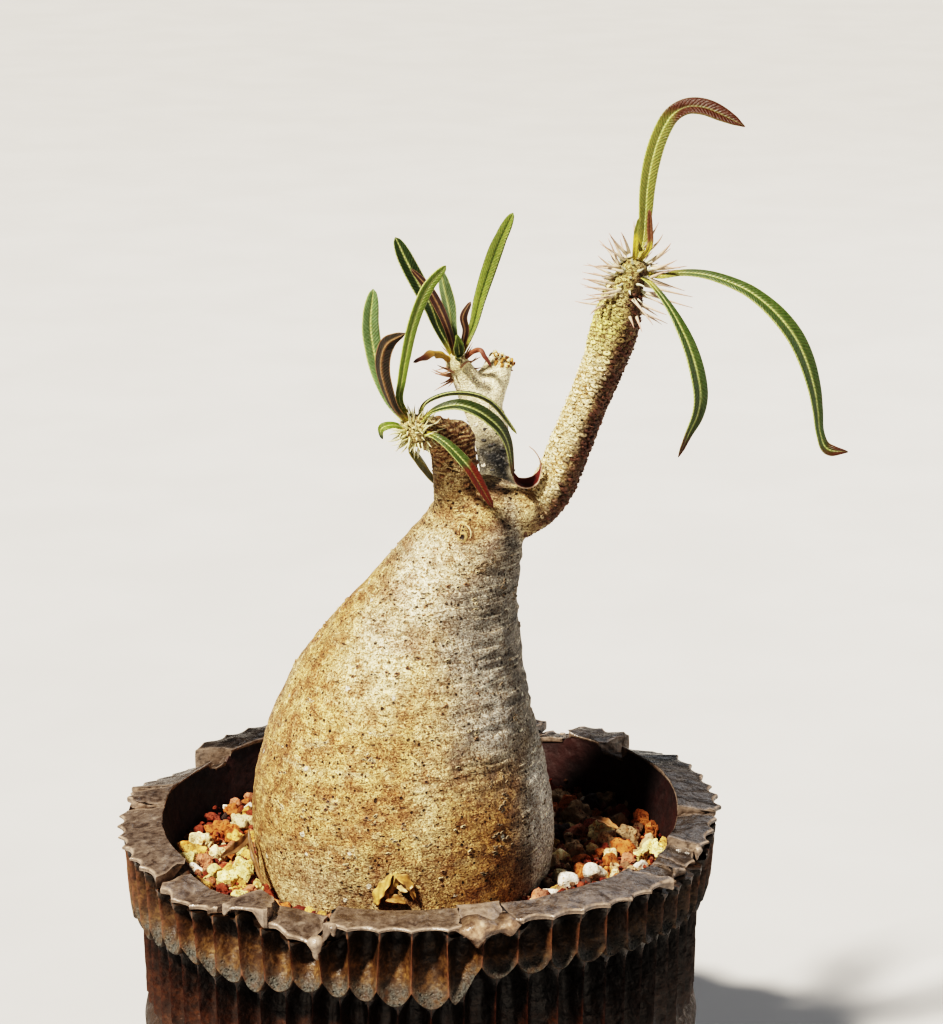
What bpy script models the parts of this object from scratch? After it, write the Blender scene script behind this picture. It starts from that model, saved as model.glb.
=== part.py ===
"""A potted bottle-stemmed plant: a swollen caudex with three spiny branches and strap leaves, standing in
coarse substrate in a fluted stoneware pot. Metres, +Z up, the origin at the centre of the pot's foot.
"""

import math
import random

import bmesh
import bpy
from mathutils import Matrix, Vector

MM = 0.001
GAP = 0.35  # clearance between neighbouring pieces, in mm

# The pot, in mm
RIM_INNER_RADIUS = 51.5
RIM_SCALLOP = 1.3
RIM_THICKNESS = 1.6
RIM_HIGHEST = 82.5
RIM_LOWEST_INSIDE = 76.2
FLUTES = 64
COLUMNS_PER_FLUTE = 4
INNER_WALL = ((6.0, 40.0), (40.0, 46.5), (64.0, 48.6))
PLAIN_BASE = ((42.8, 54.2), (38.0, 56.2), (31.0, 55.6), (14.0, 50.6), (1.2, 45.4), (0.0, 44.2))
DRAIN_HOLES = 3
DRAIN_RADIUS = 3.5
DRAIN_CIRCLE = 20.0
DRAIN_DEPTH = 12.0

# The torn rim: azimuth from +X in degrees, height of its inner and outer edge, and radius of the outer edge.
# Two entries close together are the step between two slabs.
RIM = (
    (0, 82.2, 80.6, 60.4), (28, 82.3, 80.9, 60.6), (34, 82.3, 79.4, 60.2), (36.5, 79.6, 77.4, 58.4),
    (41.5, 79.6, 77.4, 58.4), (43, 81.3, 80.8, 60.3), (53, 81.2, 80.4, 60.3), (56, 79.4, 78.6, 57.8),
    (61, 78.6, 78.2, 57.6), (64, 80.2, 79.6, 60.0), (100, 80.7, 80.6, 60.3), (142, 80.7, 80.1, 60.5),
    (144, 78.4, 75.6, 58.8), (147, 78.4, 75.8, 58.6), (149, 80.0, 76.4, 60.0), (158, 80.2, 77.4, 60.0),
    (168, 80.7, 79.7, 60.2), (170, 80.9, 80.4, 60.6), (175, 80.4, 79.4, 59.6), (178, 79.4, 78.6, 60.4),
    (212, 79.8, 78.8, 60.2), (214, 77.3, 77.4, 59.8), (220, 76.4, 76.2, 59.6), (232, 77.8, 77.8, 59.8),
    (234.5, 80.0, 80.1, 60.2), (240.5, 79.8, 80.0, 60.2), (242, 78.4, 77.8, 59.4), (245, 78.6, 77.4, 60.0),
    (251, 77.4, 75.8, 60.0), (253, 77.0, 77.0, 58.6), (254.5, 80.1, 79.5, 60.2), (278, 80.1, 80.0, 60.2),
    (279.5, 80.8, 78.6, 61.0), (286.5, 80.7, 79.0, 61.0), (288, 80.4, 80.3, 60.2), (322, 80.4, 79.3, 60.2),
    (326, 78.6, 77.4, 58.2), (339, 78.8, 77.4, 57.8), (341, 80.4, 80.0, 59.2), (355, 80.4, 80.2, 59.4),
    (357, 82.0, 80.6, 60.4), (360, 82.2, 80.6, 60.4),
)

# How far the hand-cut flutes stray from even spacing: azimuth and drift, in degrees
FLUTE_DRIFT = ((0, -0.5), (270, -0.5), (295, 2.9), (305, 3.1), (350, -0.5), (360, -0.5))

# Where the upper tier's tongues end: azimuth in degrees and height
TONGUE_ENDS = (
    (0, 65.5), (30, 63.0), (150, 62.0), (205, 62.5), (217, 64.0), (228, 62.8), (240, 63.0), (250, 64.8),
    (262, 63.9), (277, 63.0), (281, 68.4), (300, 68.2), (330, 66.5), (360, 65.5),
)

# Each tier of flutes: radius of its ridges at top and foot, and of its floor at top, middle and foot
TIERS = (
    {"ridge": (59.4, 58.6), "floor": (54.2, 55.6, 57.5)},
    {"ridge": (55.9, 55.6), "floor": (51.8, 52.8, 54.6)},
)
LOWER_TIER_FOOT = 43.6
ARCH_RISE = 2.2
TIER_STEP = 0.6

# The substrate, in mm
SUBSTRATE_LEVEL = 69.5
SUBSTRATE_FLOOR = 6.0
GRAIN_COUNT = 150
GRAIN_RADIUS = (2.5, 3.9)
GRAIN_SQUASH = ((0.75, 1.2), (0.75, 1.2), (0.7, 1.0))
GRAIN_LEVELS = (-0.9, 0.7)
GRAIN_WANDER = 0.06
GRAIN_SEED = 11
LITTER_POINTS = 6
LITTER_FACES = ((0, -1, 0.4), (0.2, -1, 0.4))

# Dry scraps standing in the substrate, as x, y, z and width
LITTER = (
    ((-38.5, 4.0, 72.5, 1.0), (-41.0, -1.0, 74.5, 3.0), (-38.0, -8.0, 73.5, 0.8)),
    ((-8.0, -37.5, 70.5, 1.5), (-7.0, -38.6, 74.0, 4.0), (-4.5, -38.4, 77.5, 1.2)),
    ((-2.0, -38.5, 70.5, 1.0), (-3.4, -38.8, 74.0, 2.6), (-0.6, -38.8, 76.0, 0.8)),
)

# The caudex: height, centre and radius of its sections, in mm, from the buried root tip to the neck
CAUDEX = (
    (33.0, 0.0, -5.0, 2.0),
    (40.0, -1.0, -5.5, 7.0),
    (48.0, -2.0, -6.0, 14.0),
    (56.0, -2.5, -6.5, 21.0),
    (63.0, -3.0, -7.0, 26.0),
    (69.0, -3.0, -7.0, 28.3),
    (76.0, -3.0, -7.0, 29.5),
    (82.0, -3.4, -7.0, 29.7),
    (90.0, -3.6, -7.0, 28.8),
    (98.0, -3.5, -7.0, 27.0),
    (106.0, -2.9, -7.0, 24.6),
    (114.0, -1.8, -6.8, 21.5),
    (122.0, 1.0, -6.6, 18.0),
    (130.0, 4.8, -6.4, 14.4),
    (136.0, 7.8, -6.2, 12.1),
    (142.0, 10.6, -6.0, 10.2),
    (147.0, 12.0, -6.0, 7.5),
    (149.5, 12.5, -6.0, 3.5),
)
CAUDEX_SIDES = 32

# Branch centrelines: x, y, z and diameter in mm
BRANCHES = {
    "left": (
        (8.5, -7.0, 139.0, 11.0),
        (7.6, -8.0, 145.3, 9.3),
        (7.4, -9.0, 149.6, 8.8),
        (7.2, -10.0, 154.0, 8.7),
        (6.4, -11.2, 158.4, 8.2),
        (3.4, -13.8, 160.8, 7.0),
        (0.8, -15.7, 161.9, 6.2),
    ),
    "mid": (
        (16.5, -2.5, 138.5, 8.6),
        (15.9, 2.0, 145.6, 7.2),
        (14.8, 5.0, 151.9, 6.8),
        (13.8, 6.0, 157.7, 7.2),
        (11.8, 6.6, 162.5, 7.4),
        (9.6, 6.0, 166.4, 5.7),
        (8.0, 5.2, 169.6, 4.6),
    ),
    "mid_stub": (
        (12.4, 6.8, 160.0, 7.0),
        (14.2, 8.4, 165.4, 6.8),
        (16.4, 10.0, 170.0, 4.8),
    ),
    "right": (
        (13.0, -6.0, 140.0, 11.0),
        (19.1, -7.0, 143.4, 9.8),
        (22.3, -7.2, 144.9, 9.2),
        (25.0, -7.5, 147.5, 8.5),
        (26.8, -8.0, 150.9, 8.2),
        (29.6, -8.6, 158.4, 7.9),
        (32.6, -9.2, 166.4, 7.6),
        (35.6, -9.8, 174.3, 8.2),
        (36.8, -10.1, 178.4, 8.9),
        (37.7, -10.4, 182.1, 8.7),
        (38.5, -10.7, 186.0, 7.8),
        (39.5, -10.9, 189.2, 6.5),
        (40.2, -11.0, 191.2, 5.4),
    ),
}
BRANCH_STATIONS = {"left": 10, "mid": 12, "mid_stub": 5, "right": 18}

# Swellings where branches turn or part: centre and radius
KNOBS = (
    (7.0, -10.6, 158.7, 4.2),
    (20.2, -8.6, 145.0, 4.7),
)

# Growing tips, each on the branch of its name: centre, radius, number of spines and of stubs of old ones,
# how far down the branch the spines reach, and their length
CROWNS = {
    "left": {"centre": (-0.2, -16.4, 162.2), "radius": 3.2, "spines": 30, "stubs": 24,
             "reach": 2.6, "length": (2.6, 4.2)},
    "mid": {"centre": (7.6, 4.9, 170.6), "radius": 2.4, "spines": 16, "stubs": 28,
            "reach": 4.4, "length": (2.4, 3.8)},
    "right": {"centre": (40.6, -11.0, 191.7), "radius": 2.8, "spines": 44, "stubs": 76,
              "reach": 7.6, "length": (4.8, 6.4)},
}
SPINE_RADIUS = 0.42
SPINE_SUNK = 1.2
SPINE_LOWEST_RISE = -20.0
SPINE_HIGHEST_RISE = 58.0
SPINE_RISE_POWER = 1.6
SPINE_TOP_SHARE = 0.7  # height of the highest spines on a crown, against its radius
SPINE_CLEAR = 0.9  # spines stay this far from a leaf's edge
STUB_LENGTH = 1.5
STUB_RADIUS = 0.55
STUB_SUNK = 0.9
STUB_FIRST_SHARE = 0.24
GOLDEN_ANGLE = math.pi * (3 - math.sqrt(5))
SPINE_SEED = 5
BRANCH_FINE_POINTS = 200
CROWN_POINTS_BACK = 8  # points of the fine line that give the way a branch ends

LEAF_THICKNESS = 0.7
LEAF_DISH = 0.14  # rise of a blade's edges over its midrib, as a share of its width
ROOT_WIDTH = 0.6  # a leaf's width at its root against that at its first point
LEAF_STEP = 3.4
LEAF_SEGMENTS = (4, 14)
THICK_LEAF_POINTS = 60

# Leaves: the crown each grows from, the way its upper face looks at base and tip, and its midrib line beyond
# the root, as x, y, z and blade width in mm
LEAVES = {
    "leaf_right_1": ("right", (0.1, -1, 0.2), (0.0, -0.7, 0.7), "leaf_green", (
        (42.5, -9.0, 197.1, 1.8), (42.9, -8.2, 202.0, 2.6), (43.2, -8.0, 207.0, 3.0), (44.0, -8.0, 212.0, 3.2),
        (45.4, -8.0, 216.6, 3.2), (47.4, -8.2, 220.2, 3.2), (50.2, -8.8, 222.0, 3.4), (53.4, -9.6, 222.0, 3.6),
        (56.6, -10.6, 220.8, 3.2), (60.8, -12.0, 218.8, 1.0))),
    "leaf_right_2": ("right", (0.0, -0.6, 0.8), (0.6, -0.8, 0.2), "leaf_green", (
        (45.6, -11.3, 190.6, 1.2), (50.0, -12.0, 191.4, 1.6), (55.0, -13.5, 191.1, 2.2), (60.7, -15.0, 189.2, 2.8),
        (64.4, -16.0, 186.9, 3.3), (67.7, -17.0, 183.9, 3.8), (70.6, -17.4, 180.1, 4.0), (72.8, -17.6, 175.5, 3.8),
        (74.3, -17.6, 170.6, 3.2), (75.1, -17.4, 166.3, 2.6), (75.7, -17.2, 162.0, 2.0), (77.2, -17.0, 158.8, 2.0),
        (81.2, -17.0, 158.2, 0.8))),
    "leaf_right_3": ("right", (0.3, -0.5, 0.8), (0.6, -0.8, 0.0), "leaf_green", (
        (44.0, -14.8, 189.6, 1.3), (46.8, -18.0, 186.4, 1.9), (49.0, -20.0, 182.7, 2.8), (50.8, -21.2, 178.7, 3.4),
        (52.1, -22.0, 174.2, 3.7), (52.7, -22.2, 170.0, 3.5), (52.2, -22.0, 166.4, 2.9), (50.6, -21.8, 162.6, 1.8),
        (49.0, -21.0, 158.2, 0.8))),
    "leaf_right_young_1": ("right", (0.3, -1, 0.1), (0.3, -1, 0.1), "leaf_young", (
        (43.9, -12.9, 196.6, 1.1), (43.8, -12.6, 200.0, 1.2), (43.4, -12.3, 203.4, 0.7))),
    "leaf_right_young_2": ("right", (-0.3, -1, 0.1), (-0.3, -1, 0.1), "leaf_young", (
        (40.4, -13.5, 196.8, 1.1), (40.4, -13.5, 199.4, 1.1), (41.1, -13.3, 202.0, 0.7))),
    "leaf_left_1": ("left", (0.2, -1, 0.1), (0.1, -1, 0.0), "leaf_green", (
        (-5.0, -12.0, 166.7, 1.9), (-7.1, -11.0, 171.7, 2.8), (-8.2, -10.4, 176.7, 3.3), (-8.7, -10.2, 181.7, 3.2),
        (-8.1, -10.0, 188.0, 1.2))),
    "leaf_left_2": ("left", (0.5, 1, 0.5), (0.6, 0.6, 0.6), "leaf_young", (
        (-3.9, -19.4, 167.1, 1.9), (-5.3, -20.6, 170.7, 2.8), (-6.2, -21.8, 174.8, 3.3), (-6.0, -23.0, 178.2, 3.2),
        (-4.8, -24.2, 180.9, 2.7), (-1.8, -25.6, 182.9, 0.9))),
    "leaf_left_3": ("left", (0.2, -1, 0.0), (0.5, -1, 0.0), "leaf_green", (
        (-3.1, -17.4, 168.2, 1.4), (-2.7, -17.4, 172.1, 1.7), (-1.9, -17.2, 176.9, 2.0), (-0.9, -17.0, 181.6, 2.2),
        (0.6, -16.6, 186.2, 2.4), (2.5, -16.2, 190.0, 2.4), (5.6, -15.4, 193.5, 0.9))),
    "leaf_left_4": ("left", (-0.2, -0.4, 1), (0.9, -0.5, 0.1), "leaf_green", (
        (2.6, -19.2, 166.2, 1.5), (4.9, -20.2, 167.5, 2.4), (7.9, -20.8, 168.1, 3.0), (10.8, -20.8, 167.3, 3.4),
        (13.4, -20.0, 165.5, 3.6), (15.7, -19.0, 163.0, 3.4), (17.2, -17.4, 159.4, 2.8), (18.2, -14.8, 152.8, 0.9))),
    "leaf_left_5": ("left", (-0.2, 0.2, 1), (1, 0.2, 0.4), "leaf_green", (
        (1.6, -14.0, 166.8, 1.4), (4.8, -13.0, 168.2, 2.2), (8.6, -12.2, 168.4, 2.8), (12.2, -11.2, 167.4, 3.0),
        (15.2, -10.2, 165.0, 2.7), (19.0, -9.0, 159.7, 0.9))),
    "leaf_left_6": ("left", (0.2, -0.6, 0.8), (0.3, -1, 0.2), "leaf_green", (
        (3.6, -20.2, 162.0, 1.6), (5.8, -21.2, 160.7, 2.0), (8.0, -21.7, 158.6, 2.3), (10.1, -21.8, 156.1, 2.4),
        (12.0, -21.4, 152.8, 2.2), (14.4, -20.6, 148.3, 0.8))),
    "leaf_left_young": ("left", (-0.2, -0.6, 0.8), (-0.8, -0.5, -0.2), "leaf_young", (
        (-4.5, -18.8, 163.8, 1.5), (-6.4, -19.0, 163.2, 1.8), (-6.4, -18.2, 161.0, 0.8))),
    "leaf_left_7": ("left", (-1, -0.2, 0.2), (-1, -0.4, 0.3), "leaf_green", (
        (-1.3, -13.4, 158.0, 1.6), (0.1, -10.4, 155.4, 2.5), (1.4, -6.5, 152.6, 2.7), (2.8, -3.2, 149.6, 2.3),
        (4.6, -1.4, 146.4, 0.9))),
    "leaf_mid_1": ("mid", (0.3, -1, 0.3), (0.2, -1, 0.2), "leaf_green", (
        (4.0, 3.8, 177.6, 2.1), (2.4, 2.6, 182.3, 3.0), (0.1, 2.0, 186.7, 3.3), (-2.2, 2.0, 191.2, 3.0),
        (-4.2, 2.0, 195.6, 0.9))),
    "leaf_mid_2": ("mid", (-0.3, 1, 0.2), (-0.3, 1, 0.2), "leaf_young", (
        (5.8, -0.8, 178.6, 1.5), (3.9, -1.0, 183.2, 1.9), (1.7, -1.2, 186.9, 1.6), (-1.2, -1.4, 190.2, 0.7))),
    "leaf_mid_3": ("mid", (0.4, 1, 0.0), (0.3, 1, 0.0), "leaf_green", (
        (6.6, 8.4, 177.0, 1.9), (6.0, 8.6, 180.8, 2.7), (5.2, 8.2, 184.4, 2.5), (4.5, 8.0, 188.0, 0.9))),
    "leaf_mid_4": ("mid", (0.4, 1, 0.1), (0.4, 1, 0.1), "leaf_young", (
        (9.2, 2.4, 177.0, 1.4), (8.8, 1.6, 180.2, 1.6), (10.2, 1.4, 183.2, 0.7))),
    "leaf_mid_5": ("mid", (-0.3, -1, 0.1), (-0.4, -1, 0.1), "leaf_green", (
        (10.7, 7.2, 177.2, 1.8), (12.0, 8.4, 182.2, 2.5), (13.8, 9.0, 187.9, 3.0), (15.7, 9.2, 193.2, 2.8),
        (18.4, 9.0, 199.1, 0.9))),
    "leaf_mid_young": ("mid", (0, -1, 0.3), (0, -0.4, 1), "leaf_green", (
        (8.0, 0.0, 173.2, 1.4), (7.8, -0.9, 175.2, 1.7), (7.4, -1.7, 177.4, 0.8))),
    "dry_leaf_mid_1": ("mid", (-0.2, -0.4, 1), (-0.4, -0.2, 1), "leaf_dry", (
        (4.0, 1.0, 173.3, 1.8), (2.2, -0.6, 173.6, 1.8), (-0.8, -2.6, 172.2, 0.8))),
    "dry_leaf_mid_2": ("mid", (0.2, -0.4, 1), (0.6, -0.4, 0.5), "leaf_dry", (
        (11.6, 2.0, 173.8, 1.4), (13.0, 1.0, 172.8, 1.3), (14.2, 0.8, 170.6, 0.7))),
}

# A dry curled leaf lying in the fork of the right branch, as x, y, z and width in mm, and which way its inner
# face looks from one end to the other
CURL = ((22.0, -12.6, 156.4, 0.8), (23.2, -12.4, 154.2, 1.2), (23.3, -12.0, 152.2, 2.0), (22.3, -11.8, 150.7, 2.4),
        (20.6, -11.6, 150.1, 2.4), (19.0, -11.6, 150.9, 2.2), (18.3, -11.6, 152.4, 1.2))
CURL_FACES = ((-1, 0, -0.3), (-1, 0, 0.4), (0, 0, 1), (1, 0, 0.6))
CURL_POINTS = 13

SHARP_ANGLE = math.radians(38)

# Colours: base colour and roughness
COLOURS = {
    "pot": ((0.09, 0.06, 0.045), 0.45),
    "substrate": ((0.42, 0.27, 0.17), 0.95),
    "trunk": ((0.48, 0.40, 0.28), 0.85),
    "leaf_green": ((0.14, 0.24, 0.06), 0.45),
    "leaf_young": ((0.20, 0.11, 0.06), 0.5),
    "leaf_dry": ((0.40, 0.17, 0.08), 0.7),
}


def clear_scene():
    """Removes whatever the open file holds."""
    for thing in list(bpy.data.objects):
        bpy.data.objects.remove(thing)


def collection(name):
    """A new collection under the scene's own."""
    made = bpy.data.collections.new(name)
    bpy.context.scene.collection.children.link(made)
    return made


def material(name):
    """A plain Principled material of the named colour."""
    known = bpy.data.materials.get(name)
    if known:
        return known
    colour, roughness = COLOURS[name]
    made = bpy.data.materials.new(name)
    made.use_nodes = True
    shader = made.node_tree.nodes["Principled BSDF"]
    shader.inputs["Base Color"].default_value = (*colour, 1)
    shader.inputs["Roughness"].default_value = roughness
    shader.inputs["Metallic"].default_value = 0
    return made


def add(name, mesh, group, colour=None):
    """Puts a bmesh into the scene as an object of that name."""
    data = bpy.data.meshes.new(name)
    mesh.to_mesh(data)
    mesh.free()
    thing = bpy.data.objects.new(name, data)
    group.objects.link(thing)
    if colour:
        data.materials.append(material(colour))
    return thing


def loft_rows(mesh, rings):
    """Adds rings of points to the mesh, in mm, and skins each ring to the next of equal count."""
    rows = [[mesh.verts.new(Vector(p) * MM) for p in ring] for ring in rings]
    for low, high in zip(rows, rows[1:]):
        count = len(low)
        for i in range(count):
            j = (i + 1) % count
            mesh.faces.new((low[i], low[j], high[j], high[i]))
    return rows


def ring(z, x, y, radius, sides):
    """A round of points about the vertical through (x, y)."""
    turns = (2 * math.pi * i / sides for i in range(sides))
    return [(x + radius * math.cos(a), y + radius * math.sin(a), z) for a in turns]


def smooth_line(points, count):
    """Samples evenly, by length, along a Catmull-Rom curve through points of any dimension."""
    ends = [tuple(2 * a - b for a, b in zip(points[0], points[1]))]
    ends.append(tuple(2 * a - b for a, b in zip(points[-1], points[-2])))
    knots = [ends[0], *points, ends[1]]
    fine = []
    steps = 24
    for k in range(1, len(knots) - 2):
        p0, p1, p2, p3 = knots[k - 1:k + 3]
        for s in range(steps):
            t = s / steps
            fine.append(tuple(
                0.5 * (2 * b + (c - a) * t + (2 * a - 5 * b + 4 * c - d) * t * t + (3 * b - a - 3 * c + d) * t ** 3)
                for a, b, c, d in zip(p0, p1, p2, p3)))
    fine.append(tuple(points[-1]))
    reach = [0.0]
    for a, b in zip(fine, fine[1:]):
        reach.append(reach[-1] + (Vector(b[:3]) - Vector(a[:3])).length)
    samples, k = [], 0
    for i in range(count):
        want = reach[-1] * i / (count - 1)
        while k < len(fine) - 2 and reach[k + 1] < want:
            k += 1
        span = max(reach[k + 1] - reach[k], 1e-9)
        t = min(max((want - reach[k]) / span, 0.0), 1.0)
        samples.append(tuple(a + (b - a) * t for a, b in zip(fine[k], fine[k + 1])))
    return samples


def combine(base, collection_of_others, operation="UNION"):
    """Applies one Boolean of a collection to base, then removes the collection and its objects."""
    boolean = base.modifiers.new("combine", "BOOLEAN")
    boolean.operand_type = "COLLECTION"
    boolean.collection = collection_of_others
    boolean.operation = operation
    boolean.solver = "EXACT"
    bpy.context.view_layer.update()
    evaluated = base.evaluated_get(bpy.context.evaluated_depsgraph_get())
    result = bpy.data.meshes.new_from_object(evaluated)
    base.modifiers.clear()
    base.data = result
    for thing in list(collection_of_others.objects):
        bpy.data.objects.remove(thing)
    bpy.data.collections.remove(collection_of_others)


def keep_largest(thing):
    """Drops the loose scraps that cutting leaves beside a body."""
    mesh = bmesh.new()
    mesh.from_mesh(thing.data)
    left, bodies = set(mesh.verts), []
    while left:
        front = [left.pop()]
        body = set(front)
        while front:
            for edge in front.pop().link_edges:
                for vert in edge.verts:
                    if vert in left:
                        left.remove(vert)
                        body.add(vert)
                        front.append(vert)
        bodies.append(body)
    bodies.sort(key=len)
    bmesh.ops.delete(mesh, geom=[vert for body in bodies[:-1] for vert in body], context="VERTS")
    mesh.to_mesh(thing.data)
    mesh.free()


def along_table(table, azimuth):
    """The values of a table at an azimuth in degrees, interpolated between its entries."""
    for low, high in zip(table, table[1:]):
        if azimuth <= high[0]:
            share = (azimuth - low[0]) / (high[0] - low[0])
            return [a + (b - a) * share for a, b in zip(low[1:], high[1:])]
    return list(table[-1][1:])


def column_azimuth(column):
    """Azimuth in degrees of a column of the fluted wall, between 0 and 360."""
    even = 360 * column / (FLUTES * COLUMNS_PER_FLUTE)
    return (even + along_table(FLUTE_DRIFT, even)[0]) % 360


def wall_ring(points):
    """A ring of the pot's wall from column, radius and height."""
    turns = [math.radians(column_azimuth(c)) for c, _, _ in points]
    return [(r * math.cos(a), r * math.sin(a), z) for a, (_, r, z) in zip(turns, points)]


def scallop(column, shift):
    """Depth share of a flute at a column: 0 on the ridge, 1 at the middle of the floor."""
    across = ((column + shift) % COLUMNS_PER_FLUTE) / COLUMNS_PER_FLUTE
    return 1 - (2 * across - 1) ** 2


def fluted_rings():
    """Rings down the outside, from the rim's edge to the foot of the lower tier."""
    half = COLUMNS_PER_FLUTE // 2
    rings = [[] for _ in range(8)]
    for c in range(FLUTES * COLUMNS_PER_FLUTE):
        azimuth = column_azimuth(c)
        _, edge, radius = along_table(RIM, azimuth)
        tongue = along_table(TONGUE_ENDS, azimuth)[0]
        upper, lower = scallop(c, 0), scallop(c, half)
        radius -= RIM_SCALLOP * upper
        rings[0].append((c, radius, edge))
        rings[1].append((c, radius - 0.3, edge - RIM_THICKNESS))
        top = edge - RIM_THICKNESS - TIER_STEP
        foot = tongue + ARCH_RISE * lower
        step = foot - TIER_STEP
        spans = ((top, foot, upper), (step, LOWER_TIER_FOOT, lower))
        for number, (tier, (high, low, depth)) in enumerate(zip(TIERS, spans)):
            for k, (share, floor) in enumerate(zip((0.0, 0.45, 1.0), tier["floor"])):
                ridge = tier["ridge"][0] + (tier["ridge"][1] - tier["ridge"][0]) * share
                place = (c, ridge + (floor - ridge) * depth, high + (low - high) * share)
                rings[2 + 3 * number + k].append(place)
    return [wall_ring(points) for points in rings]


def fan_between(mesh, coarse, fine, upward):
    """Skins a ring of one point a flute to a ring of several."""
    count = len(coarse)
    half = COLUMNS_PER_FLUTE // 2
    for i in range(count):
        here, after = coarse[i], coarse[(i + 1) % count]
        middle = (i * COLUMNS_PER_FLUTE + half) % len(fine)
        faces = [(here, fine[middle], after)]
        for k in range(COLUMNS_PER_FLUTE):
            a = fine[(i * COLUMNS_PER_FLUTE + k) % len(fine)]
            b = fine[(i * COLUMNS_PER_FLUTE + k + 1) % len(fine)]
            faces.append((here if k < half else after, a, b))
        for face in faces:
            mesh.faces.new(face if upward == (face is not faces[0]) else tuple(reversed(face)))


def make_pot(group):
    """The stoneware pot: torn rim, two tiers of flutes, a plain base and a flat foot with drain holes."""
    mesh = bmesh.new()
    columns = [i * COLUMNS_PER_FLUTE for i in range(FLUTES)]
    inner = [wall_ring([(c, r, z) for c in columns]) for z, r in INNER_WALL]
    edge = [(c, RIM_INNER_RADIUS, along_table(RIM, column_azimuth(c))[0]) for c in columns]
    wall = loft_rows(mesh, [*inner, wall_ring(edge)])
    outside = loft_rows(mesh, fluted_rings())
    base = loft_rows(mesh, [wall_ring([(c, r, z) for c in columns]) for z, r in PLAIN_BASE])
    fan_between(mesh, wall[-1], outside[0], True)
    fan_between(mesh, base[0], outside[-1], False)
    mesh.faces.new(wall[0])
    mesh.faces.new(base[-1])
    bmesh.ops.recalc_face_normals(mesh, faces=mesh.faces)
    pot = add("pot", mesh, group, "pot")
    holes = collection("drain_holes")
    for i in range(DRAIN_HOLES):
        turn = math.radians(90 + 360 * i / DRAIN_HOLES)
        place = Vector((DRAIN_CIRCLE * math.cos(turn), DRAIN_CIRCLE * math.sin(turn), INNER_WALL[0][0] / 2)) * MM
        hole = bmesh.new()
        bmesh.ops.create_cone(hole, cap_ends=True, segments=16, radius1=DRAIN_RADIUS * MM,
                              radius2=DRAIN_RADIUS * MM, depth=DRAIN_DEPTH * MM, matrix=Matrix.Translation(place))
        add("drain_hole", hole, holes)
    combine(pot, holes, "DIFFERENCE")


def caudex_body(name, clearance, group, colour=None):
    """The swollen stem as a loft of rounds, optionally larger all over for cutting its hole."""
    mesh = bmesh.new()
    rings = [ring(z, x, y, r + clearance, CAUDEX_SIDES) for z, x, y, r in CAUDEX]
    if clearance:
        z, x, y, r = CAUDEX[0]
        rings[0] = ring(z - clearance, x, y, r + clearance, CAUDEX_SIDES)
    rows = loft_rows(mesh, rings)
    mesh.faces.new(rows[0])
    mesh.faces.new(rows[-1])
    bmesh.ops.recalc_face_normals(mesh, faces=mesh.faces)
    return add(name, mesh, group, colour)


def tube(name, line, group):
    """A round tapering tube along a line of x, y, z and diameter, as a closed mesh."""
    curve = bpy.data.curves.new(name, "CURVE")
    curve.dimensions = "3D"
    curve.bevel_depth = MM
    curve.bevel_resolution = 4
    curve.use_fill_caps = True
    spline = curve.splines.new("POLY")
    spline.points.add(len(line) - 1)
    for point, (x, y, z, diameter) in zip(spline.points, line):
        point.co = (x * MM, y * MM, z * MM, 1)
        point.radius = diameter / 2
    guide = bpy.data.objects.new(name, curve)
    bpy.context.scene.collection.objects.link(guide)
    bpy.context.view_layer.update()
    data = bpy.data.meshes.new_from_object(guide.evaluated_get(bpy.context.evaluated_depsgraph_get()))
    bpy.data.objects.remove(guide)
    mesh = bmesh.new()
    mesh.from_mesh(data)
    bmesh.ops.remove_doubles(mesh, verts=mesh.verts, dist=0.00001)
    bmesh.ops.recalc_face_normals(mesh, faces=mesh.faces)
    return add(name, mesh, group)


def ball(name, centre, radius, group):
    """A small faceted sphere, centred in mm."""
    mesh = bmesh.new()
    bmesh.ops.create_icosphere(mesh, subdivisions=2, radius=radius * MM,
                               matrix=Matrix.Translation(Vector(centre) * MM))
    return add(name, mesh, group)


def spike(name, root, direction, length, radius, group):
    """A three-sided spine from root along direction, all in mm."""
    mesh = bmesh.new()
    turn = direction.to_track_quat("Z", "Y").to_matrix().to_4x4()
    place = Matrix.Translation((root + direction * length / 2) * MM)
    bmesh.ops.create_cone(mesh, cap_ends=True, segments=3, radius1=radius * MM, radius2=0.0,
                          depth=length * MM, matrix=place @ turn)
    bmesh.ops.remove_doubles(mesh, verts=mesh.verts, dist=0.000001)
    bmesh.ops.recalc_face_normals(mesh, faces=mesh.faces)
    return add(name, mesh, group)


def leaf_points(line):
    """How many points a leaf's line needs for its length."""
    length = sum((Vector(b[:3]) - Vector(a[:3])).length for a, b in zip(line, line[1:]))
    return min(max(round(length / LEAF_STEP), LEAF_SEGMENTS[0]), LEAF_SEGMENTS[1]) + 1


def leaf_line(name):
    """The midrib line of a leaf from its root on the crown, evenly sampled."""
    crown_name, _, _, _, beyond = LEAVES[name]
    crown = CROWNS[crown_name]
    centre = Vector(crown["centre"])
    way = (Vector(beyond[0][:3]) - centre).normalized()
    root = centre + way * (crown["radius"] + GAP)
    line = ((*root, beyond[0][3] * ROOT_WIDTH), *beyond)
    return smooth_line(line, leaf_points(line))


def near_leaf(root, direction, length, lines):
    """Whether a spine would come too near any leaf."""
    for share in (0.25, 0.5, 0.75, 1.0):
        point = root + direction * length * share
        for line in lines:
            if any((Vector(p[:3]) - point).length < p[3] / 2 + SPINE_CLEAR for p in line):
                return True
    return False


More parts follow.
